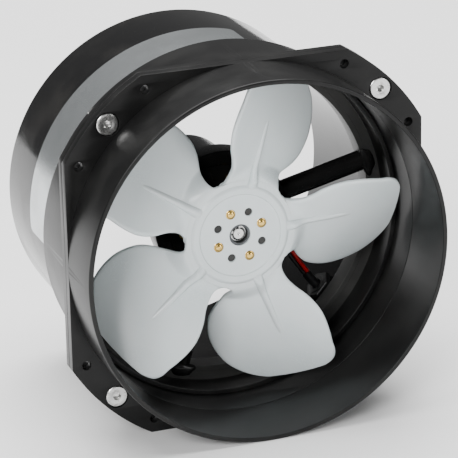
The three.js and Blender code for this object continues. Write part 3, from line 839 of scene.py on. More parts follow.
@dataclass
class Housing:
    """The two bolted flanged shells, the duct tube behind them and its label."""

    bench: Bench
    palette: Palette
    spigot: float = from_frame(lambda: half_width("front_housing"))
    bore: float = 97.4
    length: float = RIM_AHEAD
    plate: float = 5.0
    joint: float = 0.3
    corner: float = 115.2
    bolt_circle: float = 107.5
    tube: float = 94.5
    tube_bore: float = 89.3
    tube_face: float = 41.7
    steps: int = 288

    def outline(self) -> list[tuple[float, float]]:
        """Returns the flange's outline: a square whose corners an arc cuts."""
        start = math.degrees(math.acos(self.spigot / self.corner))
        points = []
        for side in range(4):
            for step in range(25):
                points.append(polar(self.corner, side * 90 + start + (90 - 2 * start) * step / 24))
        return points

    def holes(self, screw: float) -> list[tuple[float, float, float]]:
        """Returns the flange's holes: the bore, the screws and the spare holes beside them."""
        found = [(0.0, 0.0, self.spigot - 1.2)]
        for quarter in range(4):
            middle = 45 + 90 * quarter
            found.append((*polar(self.bolt_circle, middle), screw))
            found.extend((*polar(self.bolt_circle, middle + side), 2.5) for side in (-14, 14))
        return found

    def front(self) -> None:
        """Makes the front shell: an open spigot with a plate at its back."""
        spigot = self.bench.raw("front_shell", revolve(rounded([
            (self.spigot, -self.length, 1.0), (self.spigot, self.plate, 0), (self.bore, self.plate, 0.3),
            (self.bore, -self.length, 0.7)]), self.steps))
        flange = self.bench.plate("front_flange", self.outline(), self.holes(6.35), 0.0, self.plate)
        shell = self.bench.cut(spigot, flange, "UNION")
        self.bench.finish(shell, Body.HOUSING, self.palette.shell, "housing", ["front_housing"])

    def rear(self) -> None:
        """Makes the rear shell: a plate with a short collar behind it."""
        low = self.plate + self.joint
        end = low + self.plate + self.length
        collar = self.bench.raw("rear_shell", revolve(rounded([
            (self.spigot, low, 0), (self.spigot, end, 0.9), (self.tube + 0.4, end, 0.5),
            (self.bore, end - 3.0, 0), (self.bore, low, 0.3)]), self.steps))
        flange = self.bench.plate("rear_flange", self.outline(), self.holes(3.3), low, self.plate)
        shell = self.bench.cut(collar, flange, "UNION")
        self.bench.finish(shell, Body.HOUSING, self.palette.shell, "housing", ["rear_housing"])

    def duct(self) -> None:
        """Makes the glossy tube, thinned where it plugs into the collar."""
        plug = self.bore - self.joint
        step = self.plate * 2 + self.joint + self.length - 0.5
        end = step + 83.7
        profile = rounded([
            (plug, step - 18.8, 0.4), (plug, step - 3.4, 0), (self.tube, step - 3.2, 0),
            (self.tube, end, 1.0),
            (self.tube_bore, end, 1.0), (self.tube_bore, self.tube_face, 0),
            (plug - 2.75, self.tube_face, 0), (plug - 2.75, step - 18.8, 0.4)])
        tube = self.bench.raw("tube_shell", revolve(profile, self.steps))
        tube.data.materials.append(self.palette.tube)
        tube.data.materials.append(self.palette.ring)
        tube.data.materials.append(self.palette.shell)
        face = self.bench.at(0, self.tube_face, 0).y
        for polygon in tube.data.polygons:
            ahead = face - polygon.center.y
            polygon.material_index = 1 if abs(ahead) < 0.05 * MM else 2 if ahead > 0 else 0
        self.bench.finish(tube, Body.HOUSING, None, "tube", ["duct_tube"])

    def label(self) -> None:
        """Lays a blank silver label with round corners on the tube."""
        start, end, low, high, corner = 75.0, 185.0, 55.0, 86.0, 2.5
        inner, outer = self.tube + 0.12, self.tube + 0.42
        rows, columns = 18, 150
        mesh = Mesh()
        for radius in (inner, outer):
            for column in range(columns + 1):
                share = column / columns
                along = (end - start) * share * math.radians(1) * radius
                edge = min(along, (end - start) * math.radians(1) * radius - along)
                trim = corner - math.sqrt(max(corner**2 - (corner - min(edge, corner)) ** 2, 0))
                x, z = polar(radius, start + (end - start) * share)
                for row in range(rows + 1):
                    mesh.points.append((x, low + trim + (high - low - 2 * trim) * row / rows, z))
        size = (columns + 1) * (rows + 1)
        for layer in (0, size):
            for column in range(columns):
                for row in range(rows):
                    a = layer + column * (rows + 1) + row
                    mesh.faces.append((a, a + 1, a + rows + 2, a + rows + 1))
        border = ([(c, 0) for c in range(columns)] + [(columns, r) for r in range(rows)]
                  + [(c, rows) for c in range(columns, 0, -1)] + [(0, r) for r in range(rows, 0, -1)])
        ids = [c * (rows + 1) + r for c, r in border]
        for a, b in zip(ids, ids[1:] + ids[:1]):
            mesh.faces.append((a, b, b + size, a + size))
        self.bench.finish(self.bench.raw("label", mesh), Body.HOUSING, self.palette.film, "label",
                          ["rating_label"])

    def build(self) -> None:
        """Makes every piece of the housing."""
        self.front()
        self.rear()
        self.duct()
        self.label()


@dataclass
class Fasteners:
    """Countersunk socket screws through the flanges, with washers and nuts behind."""

    bench: Bench
    palette: Palette
    circle: float = 107.5
    head: float = 5.95
    shank: float = 2.9
    socket: float = 2.3
    rear_face: float = 10.3

    def ring(self, name: str, part: bpy.types.Object, nodes: str, scatter: float) -> None:
        """Repeats a fastener at the flange's corners."""
        made = self.bench.repeat(name, part, self.palette.steel, 4, self.circle, 45, 0.0, Facing.KEEP,
                                 scatter)
        self.bench.finish(made, Body.HOUSING, None, "bright_steel", [f"{nodes}_{i}" for i in range(1, 5)])

    def screws(self) -> None:
        """Makes the screws, each with a hexagon socket in a faced head."""
        top = 0.15
        tip = self.rear_face + 9.1
        profile = rounded([
            (0.0, top + 0.12, 0), (self.socket + 0.5, top + 0.12, 0), (self.socket + 0.9, top, 0),
            (self.head - 0.5, top, 0.15), (self.head, top + 0.35, 0.12), (self.head, top + 0.7, 0.1),
            (self.shank, top + 3.7, 0.3), (self.shank, tip - 0.7, 0), (self.shank - 0.7, tip, 0),
            (0.0, tip, 0)], 3)
        body = self.bench.raw("screw_part", revolve(profile, 64), True)
        key = self.bench.raw("screw_key", revolve([(0, top - 1), (self.socket, top - 1), (self.socket,
                                                                                          top + 3.0),
                                                    (0, top + 4.0)], 6, True), True)
        self.ring("flange_screws", self.bench.cut(body, key), "flange_screw", 28.0)

    def washers(self) -> None:
        """Makes the plain washers behind the flange."""
        low = self.rear_face + 0.02
        profile = rounded([(6.0, low, 0.2), (6.0, low + 1.6, 0.3), (3.1, low + 1.6, 0.15),
                           (3.1, low, 0.15)], 2)
        self.ring("flange_washers", self.bench.raw("washer_part", revolve(profile, 56), True),
                  "flange_washer", 90.0)

    def nuts(self) -> None:
        """Makes the hexagon nuts, chamfered by a cone at each end."""
        low, high, corner = self.rear_face + 1.65, self.rear_face + 6.9, 10 / math.sqrt(3)
        flats = self.bench.raw("nut_part", revolve([(corner, low), (corner, high), (3.0, high), (3.0,
                                                                                                 low)], 6,
                                                                                                 True),
                               True)
        cone = self.bench.raw("nut_cone", revolve([(0, low - 0.01), (4.9, low - 0.01), (corner + 0.2,
                                                                                        low + 0.75),
                                                    (corner + 0.2, high - 0.75), (4.9, high + 0.01),
                                                    (0, high + 0.01)], 64), True)
        self.ring("flange_nuts", self.bench.cut(flats, cone, "INTERSECT"), "flange_nut", 30.0)

    def build(self) -> None:
        """Makes every fastener."""
        self.screws()
        self.washers()
        self.nuts()


# ---------------------------------------------------------------- motor and its mount


@dataclass
class MotorMount:
    """The mount ring, three struts with their adhesive, the motor holder and its screws."""

    bench: Bench
    palette: Palette
    face: float = 41.7
    ring_outer: float = 89.25
    ring_inner: float = 86.3
    ring_depth: float = 12.0
    strut: float = 5.7
    strut_first: float = 13.5
    strut_outer: float = 92.6
    holder: float = from_frame(lambda: half_width("motor_holder"))
    holder_face: float = from_frame(lambda: stations("motor_holder")[0])
    holder_depth: float = 14.0

    def ring(self) -> None:
        """Makes the flat-faced ring inside the tube's mouth."""
        back = self.face + self.ring_depth
        profile = rounded([(self.ring_outer, self.face, 0), (self.ring_outer, back, 0.2),
                           (self.ring_inner, back, 0.4), (self.ring_inner, self.face, 0.3)], 3)
        made = self.bench.raw("mount_ring", revolve(profile, 240))
        self.bench.finish(made, Body.HOUSING, self.palette.ring, "housing", ["motor_mount_ring"])

    def struts(self) -> None:
        """Makes the three round struts."""
        start, end = self.holder - 1.0, self.strut_outer
        rod = revolve(rounded([(0, start, 0), (self.strut, start, 0.5), (self.strut, end, 0.5),
                               (0, end, 0)], 3), 64)
        part = self.bench.raw("strut_part", Mesh([(y, x, z) for x, y, z in rod.points], rod.faces), True)
        station = self.face - 0.9 + self.strut
        made = self.bench.repeat("struts", part, self.palette.gloss, 3, 0.0, self.strut_first, station,
                                 Facing.OUTWARD)
        self.bench.tidy(made)
        nodes = [f"mount_strut_{i}" for i in range(1, 4)]
        self.bench.finish(made, Body.HOUSING, None, "gloss_black", nodes)

    def adhesive(self) -> None:
        """Makes the bead of black adhesive that beds each strut in its pocket."""
        rows, columns = 24, 48
        mesh = Mesh()
        for row in range(rows + 1):
            tilt = math.pi * row / rows
            for column in range(columns):
                turn = math.tau * column / columns
                lump = (1 + 0.10 * math.sin(3 * turn + 1.3) * math.sin(tilt)
                        + 0.06 * math.sin(5 * turn + 2 * tilt))
                mesh.points.append((88.7 + 3.9 * lump * math.sin(tilt) * math.cos(turn),
                                    2.6 * math.cos(tilt),
                                    8.2 * lump * math.sin(tilt) * math.sin(turn)))
        for row in range(rows):
            for column in range(columns):
                a, b = row * columns + column, row * columns + (column + 1) % columns
                mesh.faces.append((a, a + columns, b + columns, b))
        part = self.bench.raw("bead_part", mesh, True)
        made = self.bench.repeat("strut_beads", part, self.palette.gloss, 3, 0.0, self.strut_first,
                                 self.face + 0.4, Facing.OUTWARD)
        self.bench.finish(made, Body.HOUSING, None, "gloss_black")

    def holder_disc(self) -> None:
        """Makes the motor holder, with its stepped face."""
        front, back = self.holder_face, self.holder_face + self.holder_depth
        profile = rounded([(self.holder, front, 1.4), (self.holder, back, 0.8), (11.0, back, 0.3),
                           (11.0, front + 1.2, 0.4), (30.4, front + 1.2, 0.4), (31.4, front, 0.3)], 4)
        disc = self.bench.raw("holder_disc", revolve(profile, 160))
        self.bench.finish(disc, Body.HOUSING, self.palette.gloss, "gloss_black", ["motor_holder"])

    def screws(self) -> None:
        """Makes the three slotted brass screws in the holder."""
        seat, head, shank = self.holder_face + 1.22, 2.8, 1.45
        profile = rounded([(0, seat - 2.0, 0), (head * 0.6, seat - 1.9, 0.4), (head, seat - 1.1, 0.4),
                           (head, seat, 0.15), (shank, seat, 0), (shank, seat + 17, 0.2),
                           (0, seat + 17, 0)], 4)
        body = self.bench.raw("brass_part", revolve(profile, 48), True)
        slot = Mesh([(x, y, z) for x in (-4, 4) for y in (seat - 3, seat - 1.1) for z in (-0.4, 0.4)],
                    [(0, 1, 3, 2), (4, 6, 7, 5), (0, 4, 5, 1), (2, 3, 7, 6), (0, 2, 6, 4), (1, 5, 7, 3)])
        part = self.bench.cut(body, self.bench.raw("brass_slot", slot, True))
        made = self.bench.repeat("motor_screws", part, self.palette.brass, 3, 22.9, 76.5, 0.0, Facing.KEEP,
                                 70.0)
        self.bench.finish(made, Body.HOUSING, None, "brass", [f"motor_screw_{i}" for i in range(1, 4)])

    def build(self) -> None:
        """Makes the whole mount."""
        self.ring()
        self.struts()
        self.adhesive()
        self.holder_disc()
        self.screws()


@dataclass
class Motor:
    """The motor's outer can and front cap; the parts inside keep the frame's own shapes."""

    bench: Bench
    palette: Palette
    radius: float = from_frame(lambda: half_width("motor_can"))
    cap_front: float = 54.8
    cap_back: float = from_frame(lambda: stations("motor_front_cap")[1])
    can_front: float = from_frame(lambda: stations("motor_can")[0])
    can_end: float = from_frame(lambda: stations("motor_can")[1])

    def cap(self) -> None:
        """Makes the front cap between the holder and the can."""
        profile = rounded([(10.7, 50.7, 0.3), (10.7, self.cap_front, 0), (self.radius, self.cap_front, 0.5),
                           (self.radius, self.cap_back, 0.4), (8.3, self.cap_back, 0), (8.3, 52.0, 0),
                           (4.0, 52.0, 0),
                           (4.0, 50.7, 0)], 3)
        made = self.bench.raw("front_cap", revolve(profile, 128))
        self.bench.finish(made, Body.HOUSING, self.palette.dark, "dark_steel", ["motor_front_cap"])

    def can(self) -> None:
        """Makes the drawn can with a domed rear end."""
        inner = self.radius - 1.8
        roof = self.can_end - 1.8
        profile = [(0, self.can_end - 2.0), (4, self.can_end - 2.0), (6.8, self.can_end - 1.6),
                   (8.0, self.can_end)]
        dome = [(self.radius - 8 + 8 * math.sin(t), self.can_end - 8 + 8 * math.cos(t))
                for t in (math.pi / 2 * i / 12 for i in range(13))]
        outside = profile + dome + [(self.radius, self.can_front + 3.2),
                                    (self.radius + 0.35, self.can_front + 2.9),
                                    (self.radius + 0.35, self.can_front + 0.4),
                                    (self.radius, self.can_front)]
        inside = [(inner, self.can_front), (inner, roof - 8), (inner - 3, roof - 3),
                  (inner - 8, roof - 0.6),
                  (10.5, roof - 1.2), (0, roof - 1.8)]
        made = self.bench.raw("can_shell", revolve(outside + inside, 144))
        self.bench.finish(made, Body.HOUSING, self.palette.gloss, "gloss_black", ["motor_can"])

    def shaft(self) -> None:
        """Makes the shaft, ground smooth with a centre mark in its end."""
        front, back, radius = 14.9, 109.3, 3.0
        profile = rounded([(0, front + 0.7, 0), (0.7, front + 0.05, 0), (radius, front, 0.45),
                           (radius, back, 0.4),
                           (0, back, 0)], 3)
        made = self.bench.raw("shaft", revolve(profile, 64))
        self.bench.finish(made, Body.ROTOR, self.palette.steel, "bright_steel", ["motor_shaft"])

    def insides(self) -> None:
        """Gives the closed motor's own parts their finishes."""
        finishes = {
            "armature_core": self.palette.dark, "commutator": self.palette.copper,
            "winding_front": self.palette.copper, "winding_rear": self.palette.copper,
            "front_bearing": self.palette.steel, "rear_bearing": self.palette.steel,
            "magnet_1": self.palette.ring, "magnet_2": self.palette.ring,
            "brush_1": self.palette.dark, "brush_2": self.palette.dark,
            "brush_spring_1": self.palette.steel, "brush_spring_2": self.palette.steel,
            "brush_holder": self.palette.black, "lead_grommet": self.palette.black,
        }
        for node, finish in finishes.items():
            data = frame["nodes"][node].data
            data.materials.clear()
            data.materials.append(finish)
        log.info("inner parts dressed: %d", len(finishes))

    def build(self) -> None:
        """Makes the motor."""
        self.cap()
        self.can()
        self.shaft()
        self.insides()


# ---------------------------------------------------------------- impeller


@dataclass
class Impeller:
    """The five-bladed moulding with its hub, ribs, rivets, pegs, carrier and push-on washer."""

    bench: Bench
    palette: Palette
    blades: int = 5
    first: float = 74.6
    face: float = 12.7
    plate: float = 3.5
    tip: float = 91.4
    middle: float = 64.0
    middle_y: float = 14.1
    pitch: float = 0.565
    twist: float = 0.0049
    lean: float = -0.059
    sweep: float = 0.0016
    flat_to: float = 30.6
    free_from: float = 40.0
    thick_root: float = 3.2
    thick_tip: float = 2.1
    rivet_circle: float = 13.4
    rivet_first: float = 23.0
    bore: float = 6.0
    leading: tuple[tuple[float, float], ...] = (
        (25.5, 36), (30.4, 36), (30.7, 33.3), (31.7, 29.1), (34.2, 25.0), (38.4, 22.4), (44, 22.1),
        (50, 23.1),
        (56, 23), (62, 22.1), (68, 20.3), (74, 18.2), (80, 16.1), (85, 14.8), (89, 12.6), (90.9, 9.2))
    trailing: tuple[tuple[float, float], ...] = (
        (25.5, -36), (30.4, -36), (30.7, -33.5), (31.8, -29.8), (34.8, -28.0), (39.4, -29.9), (45.6, -33.5),
        (52, -34.8), (58, -33.9), (64, -32.1), (70, -29.3), (76, -25.9), (82, -21.8), (87, -16.8),
        (90, -12),
        (91.1, -8.6))

    @staticmethod
    def curve(knots: Sequence[tuple[float, float]], share: float) -> tuple[float, float]:
        """Returns the point at a share of the way along smooth knots."""
        place = share * (len(knots) - 1)
        index = min(int(place), len(knots) - 2)
        t = place - index
        picked = [knots[min(max(index + i, 0), len(knots) - 1)] for i in (-1, 0, 1, 2)]
        a, b, c, d = (Vector(p) for p in picked)
        point = 0.5 * (2 * b + (c - a) * t + (2 * a - 5 * b + 4 * c - d) * t**2
                       + (3 * b - a - 3 * c + d) * t**3)
        return point.x, point.y

    def surface(self, radius: float, angle: float) -> float:
        """Returns the blade's middle surface behind the flange face, at a radius and angle from its rib."""
        out = radius * math.cos(angle) - self.middle
        across = radius * math.sin(angle)
        free = (self.middle_y - (self.pitch + self.twist * out) * across + self.lean * out
                + self.sweep * out * out)
        t = min(max((radius - self.flat_to) / (self.free_from - self.flat_to), 0.0), 1.0)
        blend = t * t * (3 - 2 * t)
        return (self.face + self.plate / 2) * (1 - blend) + free * blend

    def wall(self, radius: float) -> float:
        """Returns the moulding's thickness at a radius."""
        t = min(max((radius - 30) / 34, 0.0), 1.0)
        return self.thick_root + (self.thick_tip - self.thick_root) * t * t * (3 - 2 * t)

    def blade_sheet(self) -> Mesh:
        """Returns one blade's middle sheet with its rib along +X."""
        rows, columns = 60, 20
        mesh = Mesh()
        for row in range(rows + 1):
            ahead = self.curve(self.leading, row / rows)
            behind = self.curve(self.trailing, row / rows)
            for column in range(columns + 1):
                share = column / columns
                radius = behind[0] + (ahead[0] - behind[0]) * share
                edges = max(behind[1], -36.0), min(ahead[1], 36.0)
                angle = math.radians(edges[0] + (edges[1] - edges[0]) * share)
                mesh.points.append((radius * math.cos(angle), self.surface(radius, angle),
                                    radius * math.sin(angle)))
        for row in range(rows):
            for column in range(columns):
                a = row * (columns + 1) + column
                mesh.faces.append((a, a + 1, a + columns + 2, a + columns + 1))
        return mesh

    def sheet(self) -> bpy.types.Object:
        """Repeats the blade sheet round the hub, joins the roots and gives the sheet its wall."""
        part = self.bench.raw("blade_part", self.blade_sheet(), True)
        sheet = self.bench.repeat("blades", part, self.palette.nylon, self.blades, 0.0, self.first, 0.0,
                                  Facing.OUTWARD)
        self.bench.tidy(sheet, 180.0, 1e-6)
        group = sheet.vertex_groups.new(name="wall")
        for vertex in sheet.data.vertices:
            place = vertex.co - self.bench.origin
            radius = math.hypot(place.x, place.z) / MM
            group.add([vertex.index], self.wall(radius) / self.thick_root, "REPLACE")
        wall = sheet.modifiers.new("wall", "SOLIDIFY")
        wall.thickness, wall.offset = self.thick_root * MM, 0.0
        wall.vertex_group = "wall"
        soft = sheet.modifiers.new("soft", "SUBSURF")
        soft.levels = soft.render_levels = 1
        return self.bench.flatten(sheet)

    def ribs(self) -> bpy.types.Object:
        """Makes the tapering ridge on the front of each blade."""
        start, end, rows, columns = 25.4, 66.0, 60, 14
        mesh = Mesh()
        for row in range(rows + 1):
            share = row / rows
            radius = start + (end - start) * share
            half = (1.5 + 1.6 * (1 - share) ** 3) * math.sqrt(max(1 - share**8, 0.0)) + 0.02
            height = 2.9 * (1 - share) ** 0.8 * min(1.0, 0.15 + (radius - start) / 6)
            for column in range(columns):
                turn = math.tau * column / columns
                across = half * math.cos(turn)
                lift = math.sin(turn)
                base = self.surface(radius, math.atan2(across, radius)) - self.wall(radius) / 2
                rise = height * lift**1.4 if lift > 0 else 0.8 * lift
                mesh.points.append((radius, base - rise, across))
        for row in range(rows):
            for column in range(columns):
                a, b = row * columns + column, row * columns + (column + 1) % columns
                mesh.faces.append((a, b, b + columns, a + columns))
        mesh.faces.append(tuple(range(columns)))
        mesh.faces.append(tuple(range(rows * columns, (rows + 1) * columns)))
        part = self.bench.raw("rib_part", mesh, True)
        made = self.bench.repeat("ribs", part, self.palette.nylon, self.blades, 0.0, self.first, 0.0,
                                 Facing.OUTWARD)
        self.bench.tidy(made, 60.0)
        return made

    def hub(self) -> bpy.types.Object:
        """Makes the hub disc with its raised rim, and drills the peg and rivet holes."""
        front, back = self.face, self.face + self.plate
        profile = rounded([
            (self.bore, front, 0.35), (22.9, front, 0.25), (23.3, front - 0.75, 0.3),
            (26.3, front - 0.95, 0.8),
            (28.2, front + 0.35, 0.7), (30.2, front + 1.0, 0.5), (30.2, back - 0.6, 0.6),
            (28.0, back + 1.4, 0.5),
            (25.4, back + 1.4, 0.5), (25.0, back, 0.3), (self.bore, back, 0.3)], 4)
        disc = self.bench.raw("hub", revolve(profile, 160))
        drills = Mesh()
        for index in range(8):
            x, z = polar(self.rivet_circle, self.rivet_first + 45 * index)
            bit = revolve([(0, front - 2), (2.3, front - 2), (2.3, back + 2), (0, back + 2)], 40)
            drills = drills.join(Mesh([(px + x, py, pz + z) for px, py, pz in bit.points], bit.faces))
        return self.bench.cut(disc, self.bench.raw("hub_drills", drills))

    def moulding(self) -> None:
        """Joins the hub, blades and ribs into one piece."""
        parts = [self.hub(), self.sheet(), self.ribs()]
        base = parts[0]
        work = bmesh.new()
        for part in parts:
            work.from_mesh(part.data)
        work.to_mesh(base.data)
        work.free()
        for part in parts[1:]:
            self.bench.drop(part)
        for face in base.data.polygons:
            face.material_index = 0
        base.name = base.data.name = "moulding"
        self.bench.finish(base, Body.ROTOR, self.palette.nylon, "nylon", ["impeller"])

    def rivets(self) -> None:
        """Makes the domed brass rivets."""
        seat, head = self.face - 0.02, 2.75
        crown = head - 0.55
        dome = [(crown * math.sin(t),
                 seat - 0.3 - math.cos(t)) for t in (math.pi / 2 * i / 8 for i in range(9))]
        tail = self.face + self.plate + 3.0
        profile = dome + [(head - 0.2, seat - 0.22), (head, seat - 0.05), (head, seat + 0.05),
                          (1.5, seat + 0.05), (1.5, tail), (2.3, tail), (2.2, tail + 0.8),
                          (0, tail + 1.1)]
        part = self.bench.raw("rivet_part", revolve(profile, 48), True)
        made = self.bench.repeat("hub_rivets", part, self.palette.brass, 4, self.rivet_circle,
                                 self.rivet_first, 0.0, Facing.KEEP)
        self.bench.finish(made, Body.ROTOR, None, "brass", [f"hub_rivet_{i}" for i in range(1, 5)])

    def carrier(self) -> None:
        """Makes the steel carrier behind the hub and the four pegs that fill the hub's other holes."""
        front = self.face + self.plate + 0.4
        profile = rounded([(18.5, front, 0.4), (18.5, front + 2.4, 0.4), (7.5, front + 2.4, 0.5),
                           (7.5, front + 20, 0.5), (3.3, front + 20, 0.2), (3.3, front + 0.2, 0),
                           (4.9, front + 0.2, 0),
                           (4.9, self.face + 0.7, 0.15), (5.8, self.face + 0.7, 0.2), (5.8, front, 0)], 3)
        made = self.bench.raw("carrier", revolve(profile, 96))
        self.bench.finish(made, Body.ROTOR, self.palette.dark, "dark_steel", ["hub_carrier"])
        low = self.face + 0.55
        peg = revolve(rounded([(0, low + 0.35, 0), (1.0, low + 0.2, 0), (2.15, low, 0.4),
                               (2.15, front + 0.6, 0),
                               (0, front + 0.6, 0)], 3), 40)
        part = self.bench.raw("peg_part", peg, True)
        pegs = self.bench.repeat("carrier_pegs", part, self.palette.ring, 4, self.rivet_circle,
                                 self.rivet_first + 45, 0.0, Facing.KEEP)
        self.bench.finish(pegs, Body.ROTOR, None, "dark_steel")

    def washer(self) -> None:
        """Makes the push-on washer, whose bent teeth grip the shaft."""
        flat, teeth = 15.9, 8
        outer, root, grip, gauge = 4.3, 3.9, 3.02, 0.4
        mesh = Mesh()
        steps = teeth * 12
        for y_shift in (0.0, gauge):
            for row in range(4):
                for step in range(steps):
                    phase = (step % 12) / 12
                    tooth = 1.0 if 0.3 < phase < 0.85 else 0.0
                    radius = (outer, root + 0.15, root, root - (root - grip) * tooth)[row]
                    lift = 0.55 if row == 3 and tooth else 0.0
                    x, z = polar(radius, step * 360 / steps)
                    mesh.points.append((x, flat - lift + y_shift, z))
        layer = 4 * steps
        for row in range(3):
            for step in range(steps):
                a, b = row * steps + step, row * steps + (step + 1) % steps
                mesh.faces.append((a, a + steps, b + steps, b))
                mesh.faces.append((a + layer, b + layer, b + steps + layer, a + steps + layer))
        for step in range(steps):
            a, b = step, (step + 1) % steps
            mesh.faces.append((a, b, b + layer, a + layer))
            c, d = a + 3 * steps, b + 3 * steps
            mesh.faces.append((c, c + layer, d + layer, d))
        made = self.bench.raw("push_washer", mesh)
        self.bench.finish(made, Body.ROTOR, self.palette.steel, "bright_steel", ["retaining_washer"])

    def build(self) -> None:
        """Makes everything that turns in front of the motor."""
        self.moulding()
        self.rivets()
        self.carrier()
        self.washer()


# ---------------------------------------------------------------- wiring


@dataclass
class Wiring:
    """The red and black leads, their sleeve and the gland in the tube's wall."""

    bench: Bench
    palette: Palette
    angle: float = -41.3
    station: float = 62.0
    bore: float = 89.3
    lead: float = 1.15
    pitch: float = 2.3
    sleeve: float = 2.75
    bends: tuple[tuple[float, float, float], ...] = (
        (25.2, -8.0, 66.6), (31.5, -8.0, 66.6), (38.6, -18.2, 65.5), (48.1, -28.6, 63.5),
        (57.9, -35.1, 62.0),
        (74.5, -39.9, 62.0), (83.3, -41.3, 62.0), (89.3, -41.3, 62.0), (101.0, -41.3, 62.0))

    def route(self) -> list[Vector]:
        """Returns the leads' middle route in bench millimetres."""
        knots = []
        for radius, degrees, y in self.bends:
            x, z = polar(radius, degrees)
            knots.append(Vector((x, y, z)))
        points = []
        for index in range(len(knots) - 1):
            a, b, c, d = (knots[min(max(index + i, 0), len(knots) - 1)] for i in (-1, 0, 1, 2))
            for step in range(6):
                t = step / 6
                points.append(0.5 * (2 * b + (c - a) * t + (2 * a - 5 * b + 4 * c - d) * t**2
                                     + (3 * b - a - 3 * c + d) * t**3))
        return points + [knots[-1]]

    def leads(self) -> None:
        """Runs the two leads side by side."""
        middle = self.route()
        pairs = (("red_lead", -1, self.palette.red, "red_insulation", "lead_red"),
                 ("black_lead", 1, self.palette.black, "black_insulation", "lead_black"))
        for name, side, finish, slot, node in pairs:
            path = []
            for index, point in enumerate(middle):
                along = middle[min(index + 1, len(middle) - 1)] - middle[max(index - 1, 0)]
                beside = Vector((0, 1, 0)).cross(along).normalized()
                path.append(self.bench.at(*(point + beside * side * self.pitch / 2)))
            made = self.bench.run(name, path, self.lead, finish)
            self.bench.finish(made, Body.HOUSING, None, slot, [node])

    def sleeving(self) -> None:
        """Shrinks the sleeve over both leads from halfway out."""
        path = [self.bench.at(*point) for point in self.route()[30:]]
        made = self.bench.run("lead_sleeving", path, self.sleeve, self.palette.black, 1.0, 60)
        self.bench.finish(made, Body.HOUSING, None, "black_insulation", ["lead_sleeve"])

    def radial(self, mesh: Mesh) -> Mesh:
        """Stands a mesh turned about Y along the gland's own axis."""
        turn = Matrix.Rotation(-math.radians(self.angle), 3, "Y") @ Matrix.Rotation(-math.pi / 2, 3, "Z")
        centre = Vector((0, self.station, 0))
        return Mesh([tuple(turn @ Vector(p) + centre) for p in mesh.points], mesh.faces)

    def gland(self) -> None:
        """Makes the gland's body, its locknut inside the tube and its domed cap outside."""
        seat, corner = self.bore + 5.45, 15 / math.sqrt(3)
        barrel = revolve(rounded([(5.7, self.bore - 5, 0.4), (5.7, seat + 8, 0.4), (3.3, seat + 8, 0.2),
                                  (3.3, self.bore - 5, 0.2)], 3), 64)
        flats = revolve([(corner - 0.6, seat), (corner, seat + 0.5), (corner, seat + 3.6),
                         (corner - 0.5, seat + 4.0),
                         (5.5, seat + 4.0), (5.5, seat)], 6, True)
        # The gland parts take the darkened black moulding, whose colour holds painted shade.
        body = self.bench.raw("gland_body", self.radial(barrel.join(flats)))
        self.bench.finish(body, Body.HOUSING, self.palette.moulded, "black_plastic", ["cable_gland_body"])
        low, high = self.bore - 4.6, self.bore - 0.8
        locknut = revolve([(corner - 0.4, low), (corner, low + 0.4), (corner, high - 0.4),
                           (corner - 0.4, high),
                           (5.8, high), (5.8, low)], 6, True)
        made = self.bench.raw("gland_locknut", self.radial(locknut))
        self.bench.finish(made, Body.HOUSING, self.palette.moulded, "black_plastic",
                          ["cable_gland_locknut"])
        cap_hex = revolve([(corner - 0.4, seat + 4.3), (corner, seat + 4.7), (corner, seat + 9.4),
                           (corner - 1.0, seat + 10), (5.9, seat + 10), (5.9, seat + 4.3)], 6, True)
        dome = revolve(rounded([(5.8, seat + 8.2, 0), (corner - 1.4, seat + 9.0, 0),
                                (corner - 1.4, seat + 12.4, 1.6),
                                (3.4, seat + 12.4, 0.4), (3.4, seat + 8.2, 0)], 5), 64)
        cap = self.bench.raw("gland_cap", self.radial(cap_hex.join(dome)))
        self.bench.finish(cap, Body.HOUSING, self.palette.moulded, "black_plastic", ["cable_gland_cap"])

    def build(self) -> None:
        """Makes the wiring."""
        self.leads()
        self.sleeving()
        self.gland()


# ---------------------------------------------------------------- studio


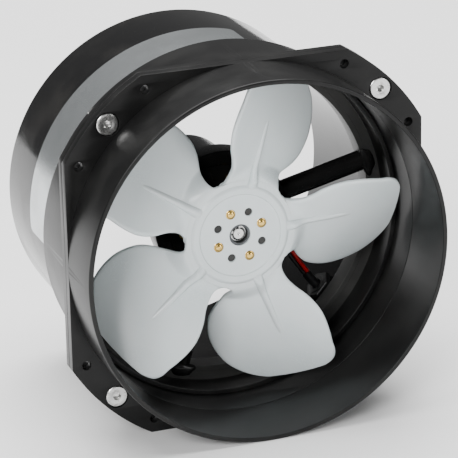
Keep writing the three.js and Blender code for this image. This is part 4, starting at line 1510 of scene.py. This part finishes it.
@dataclass
class Studio:
    """A pale floor, soft lights and the camera."""

    bench: Bench
    azimuth: float = -20.134
    elevation: float = 20.453
    roll: float = -1.124
    distance: float = 1460.7
    target: tuple[float, float, float] = (-10.94, 0.0, 9.46)
    lens: float = 217.5

    def floor(self) -> None:
        """Lays the pale floor."""
        data = bpy.data.meshes.new("floor")
        side, front, rear = 4.0, -4.0, 1.15
        corners = [(-side, front, 0), (side, front, 0), (side, rear, 0), (-side, rear, 0)]
        data.from_pydata(corners, [], [(0, 1, 2, 3)])
        made = bpy.data.objects.new("floor", data)
        self.bench.collection.objects.link(made)
        shader = Shader("pale_floor")
        shader.set(base_color=(0.93, 0.93, 0.93, 1), roughness=0.9, specular_ior_level=0.1)
        data.materials.append(shader.material)

    def lamp(self, name: str, place: tuple[float, float, float], size: tuple[float, float],
             power: float) -> None:
        """Hangs a rectangular soft light that faces the fan.

        Args:
            name: The light's name.
            place: Its place from the fan's middle, in metres.
            size: Its width and height in metres.
            power: Its power in watts.
        """
        data = bpy.data.lights.new(name, "AREA")
        data.shape, data.size, data.size_y, data.energy = "RECTANGLE", size[0], size[1], power
        made = bpy.data.objects.new(name, data)
        self.bench.collection.objects.link(made)
        made.location = self.bench.origin + Vector(place)
        made.rotation_mode = "QUATERNION"
        made.rotation_quaternion = Vector(place).to_track_quat("Z", "Y")

    def sky(self) -> None:
        """Fills the surroundings with even white light."""
        world = bpy.data.worlds.new("studio")
        world.use_nodes = True
        back = world.node_tree.nodes["Background"]
        back.inputs["Color"].default_value = (1, 1, 1, 1)
        back.inputs["Strength"].default_value = 0.18
        bpy.context.scene.world = world

    def camera(self) -> None:
        """Stands the camera at its distance, turned and rolled."""
        a, e, r = (math.radians(v) for v in (self.azimuth, self.elevation, self.roll))
        back = Vector((math.sin(a) * math.cos(e), -math.cos(a) * math.cos(e), math.sin(e)))
        level = Vector((math.cos(a), math.sin(a), 0))
        rise = back.cross(level)
        right = level * math.cos(r) + rise * math.sin(r)
        up = rise * math.cos(r) - level * math.sin(r)
        data = bpy.data.cameras.new("camera")
        data.sensor_width, data.lens = 36.0, self.lens
        data.clip_start, data.clip_end = 0.05, 50.0
        made = bpy.data.objects.new("camera", data)
        self.bench.collection.objects.link(made)
        turn = Matrix((right, up, back)).transposed().to_4x4()
        made.matrix_world = (Matrix.Translation(self.bench.at(*self.target) + back * self.distance * MM)
                             @ turn)
        bpy.context.scene.camera = made

    def build(self) -> None:
        """Sets the studio up."""
        self.floor()
        self.sky()
        self.camera()
        self.lamp("key", (-1.5, -1.7, 1.3), (1.0, 1.0), 60.0)
        self.lamp("fill", (1.5, -1.9, 0.6), (0.7, 1.1), 16.0)
        self.lamp("top", (0.0, 0.6, 2.6), (3.2, 3.2), 215.0)


def main() -> None:
    """Builds the fan and its studio."""
    logging.basicConfig(level=logging.INFO, format="%(name)s %(message)s")
    bench = Bench()
    studio = Studio(bench)
    studio.build()
    palette = Palette(bench.origin)
    makers: list[Callable[[], None]] = [
        Housing(bench, palette).build,
        Fasteners(bench, palette).build,
        MotorMount(bench, palette).build,
        Motor(bench, palette).build,
        Impeller(bench, palette).build,
        Wiring(bench, palette).build,
    ]
    for make in makers:
        make()


if __name__ == "__main__":
    main()
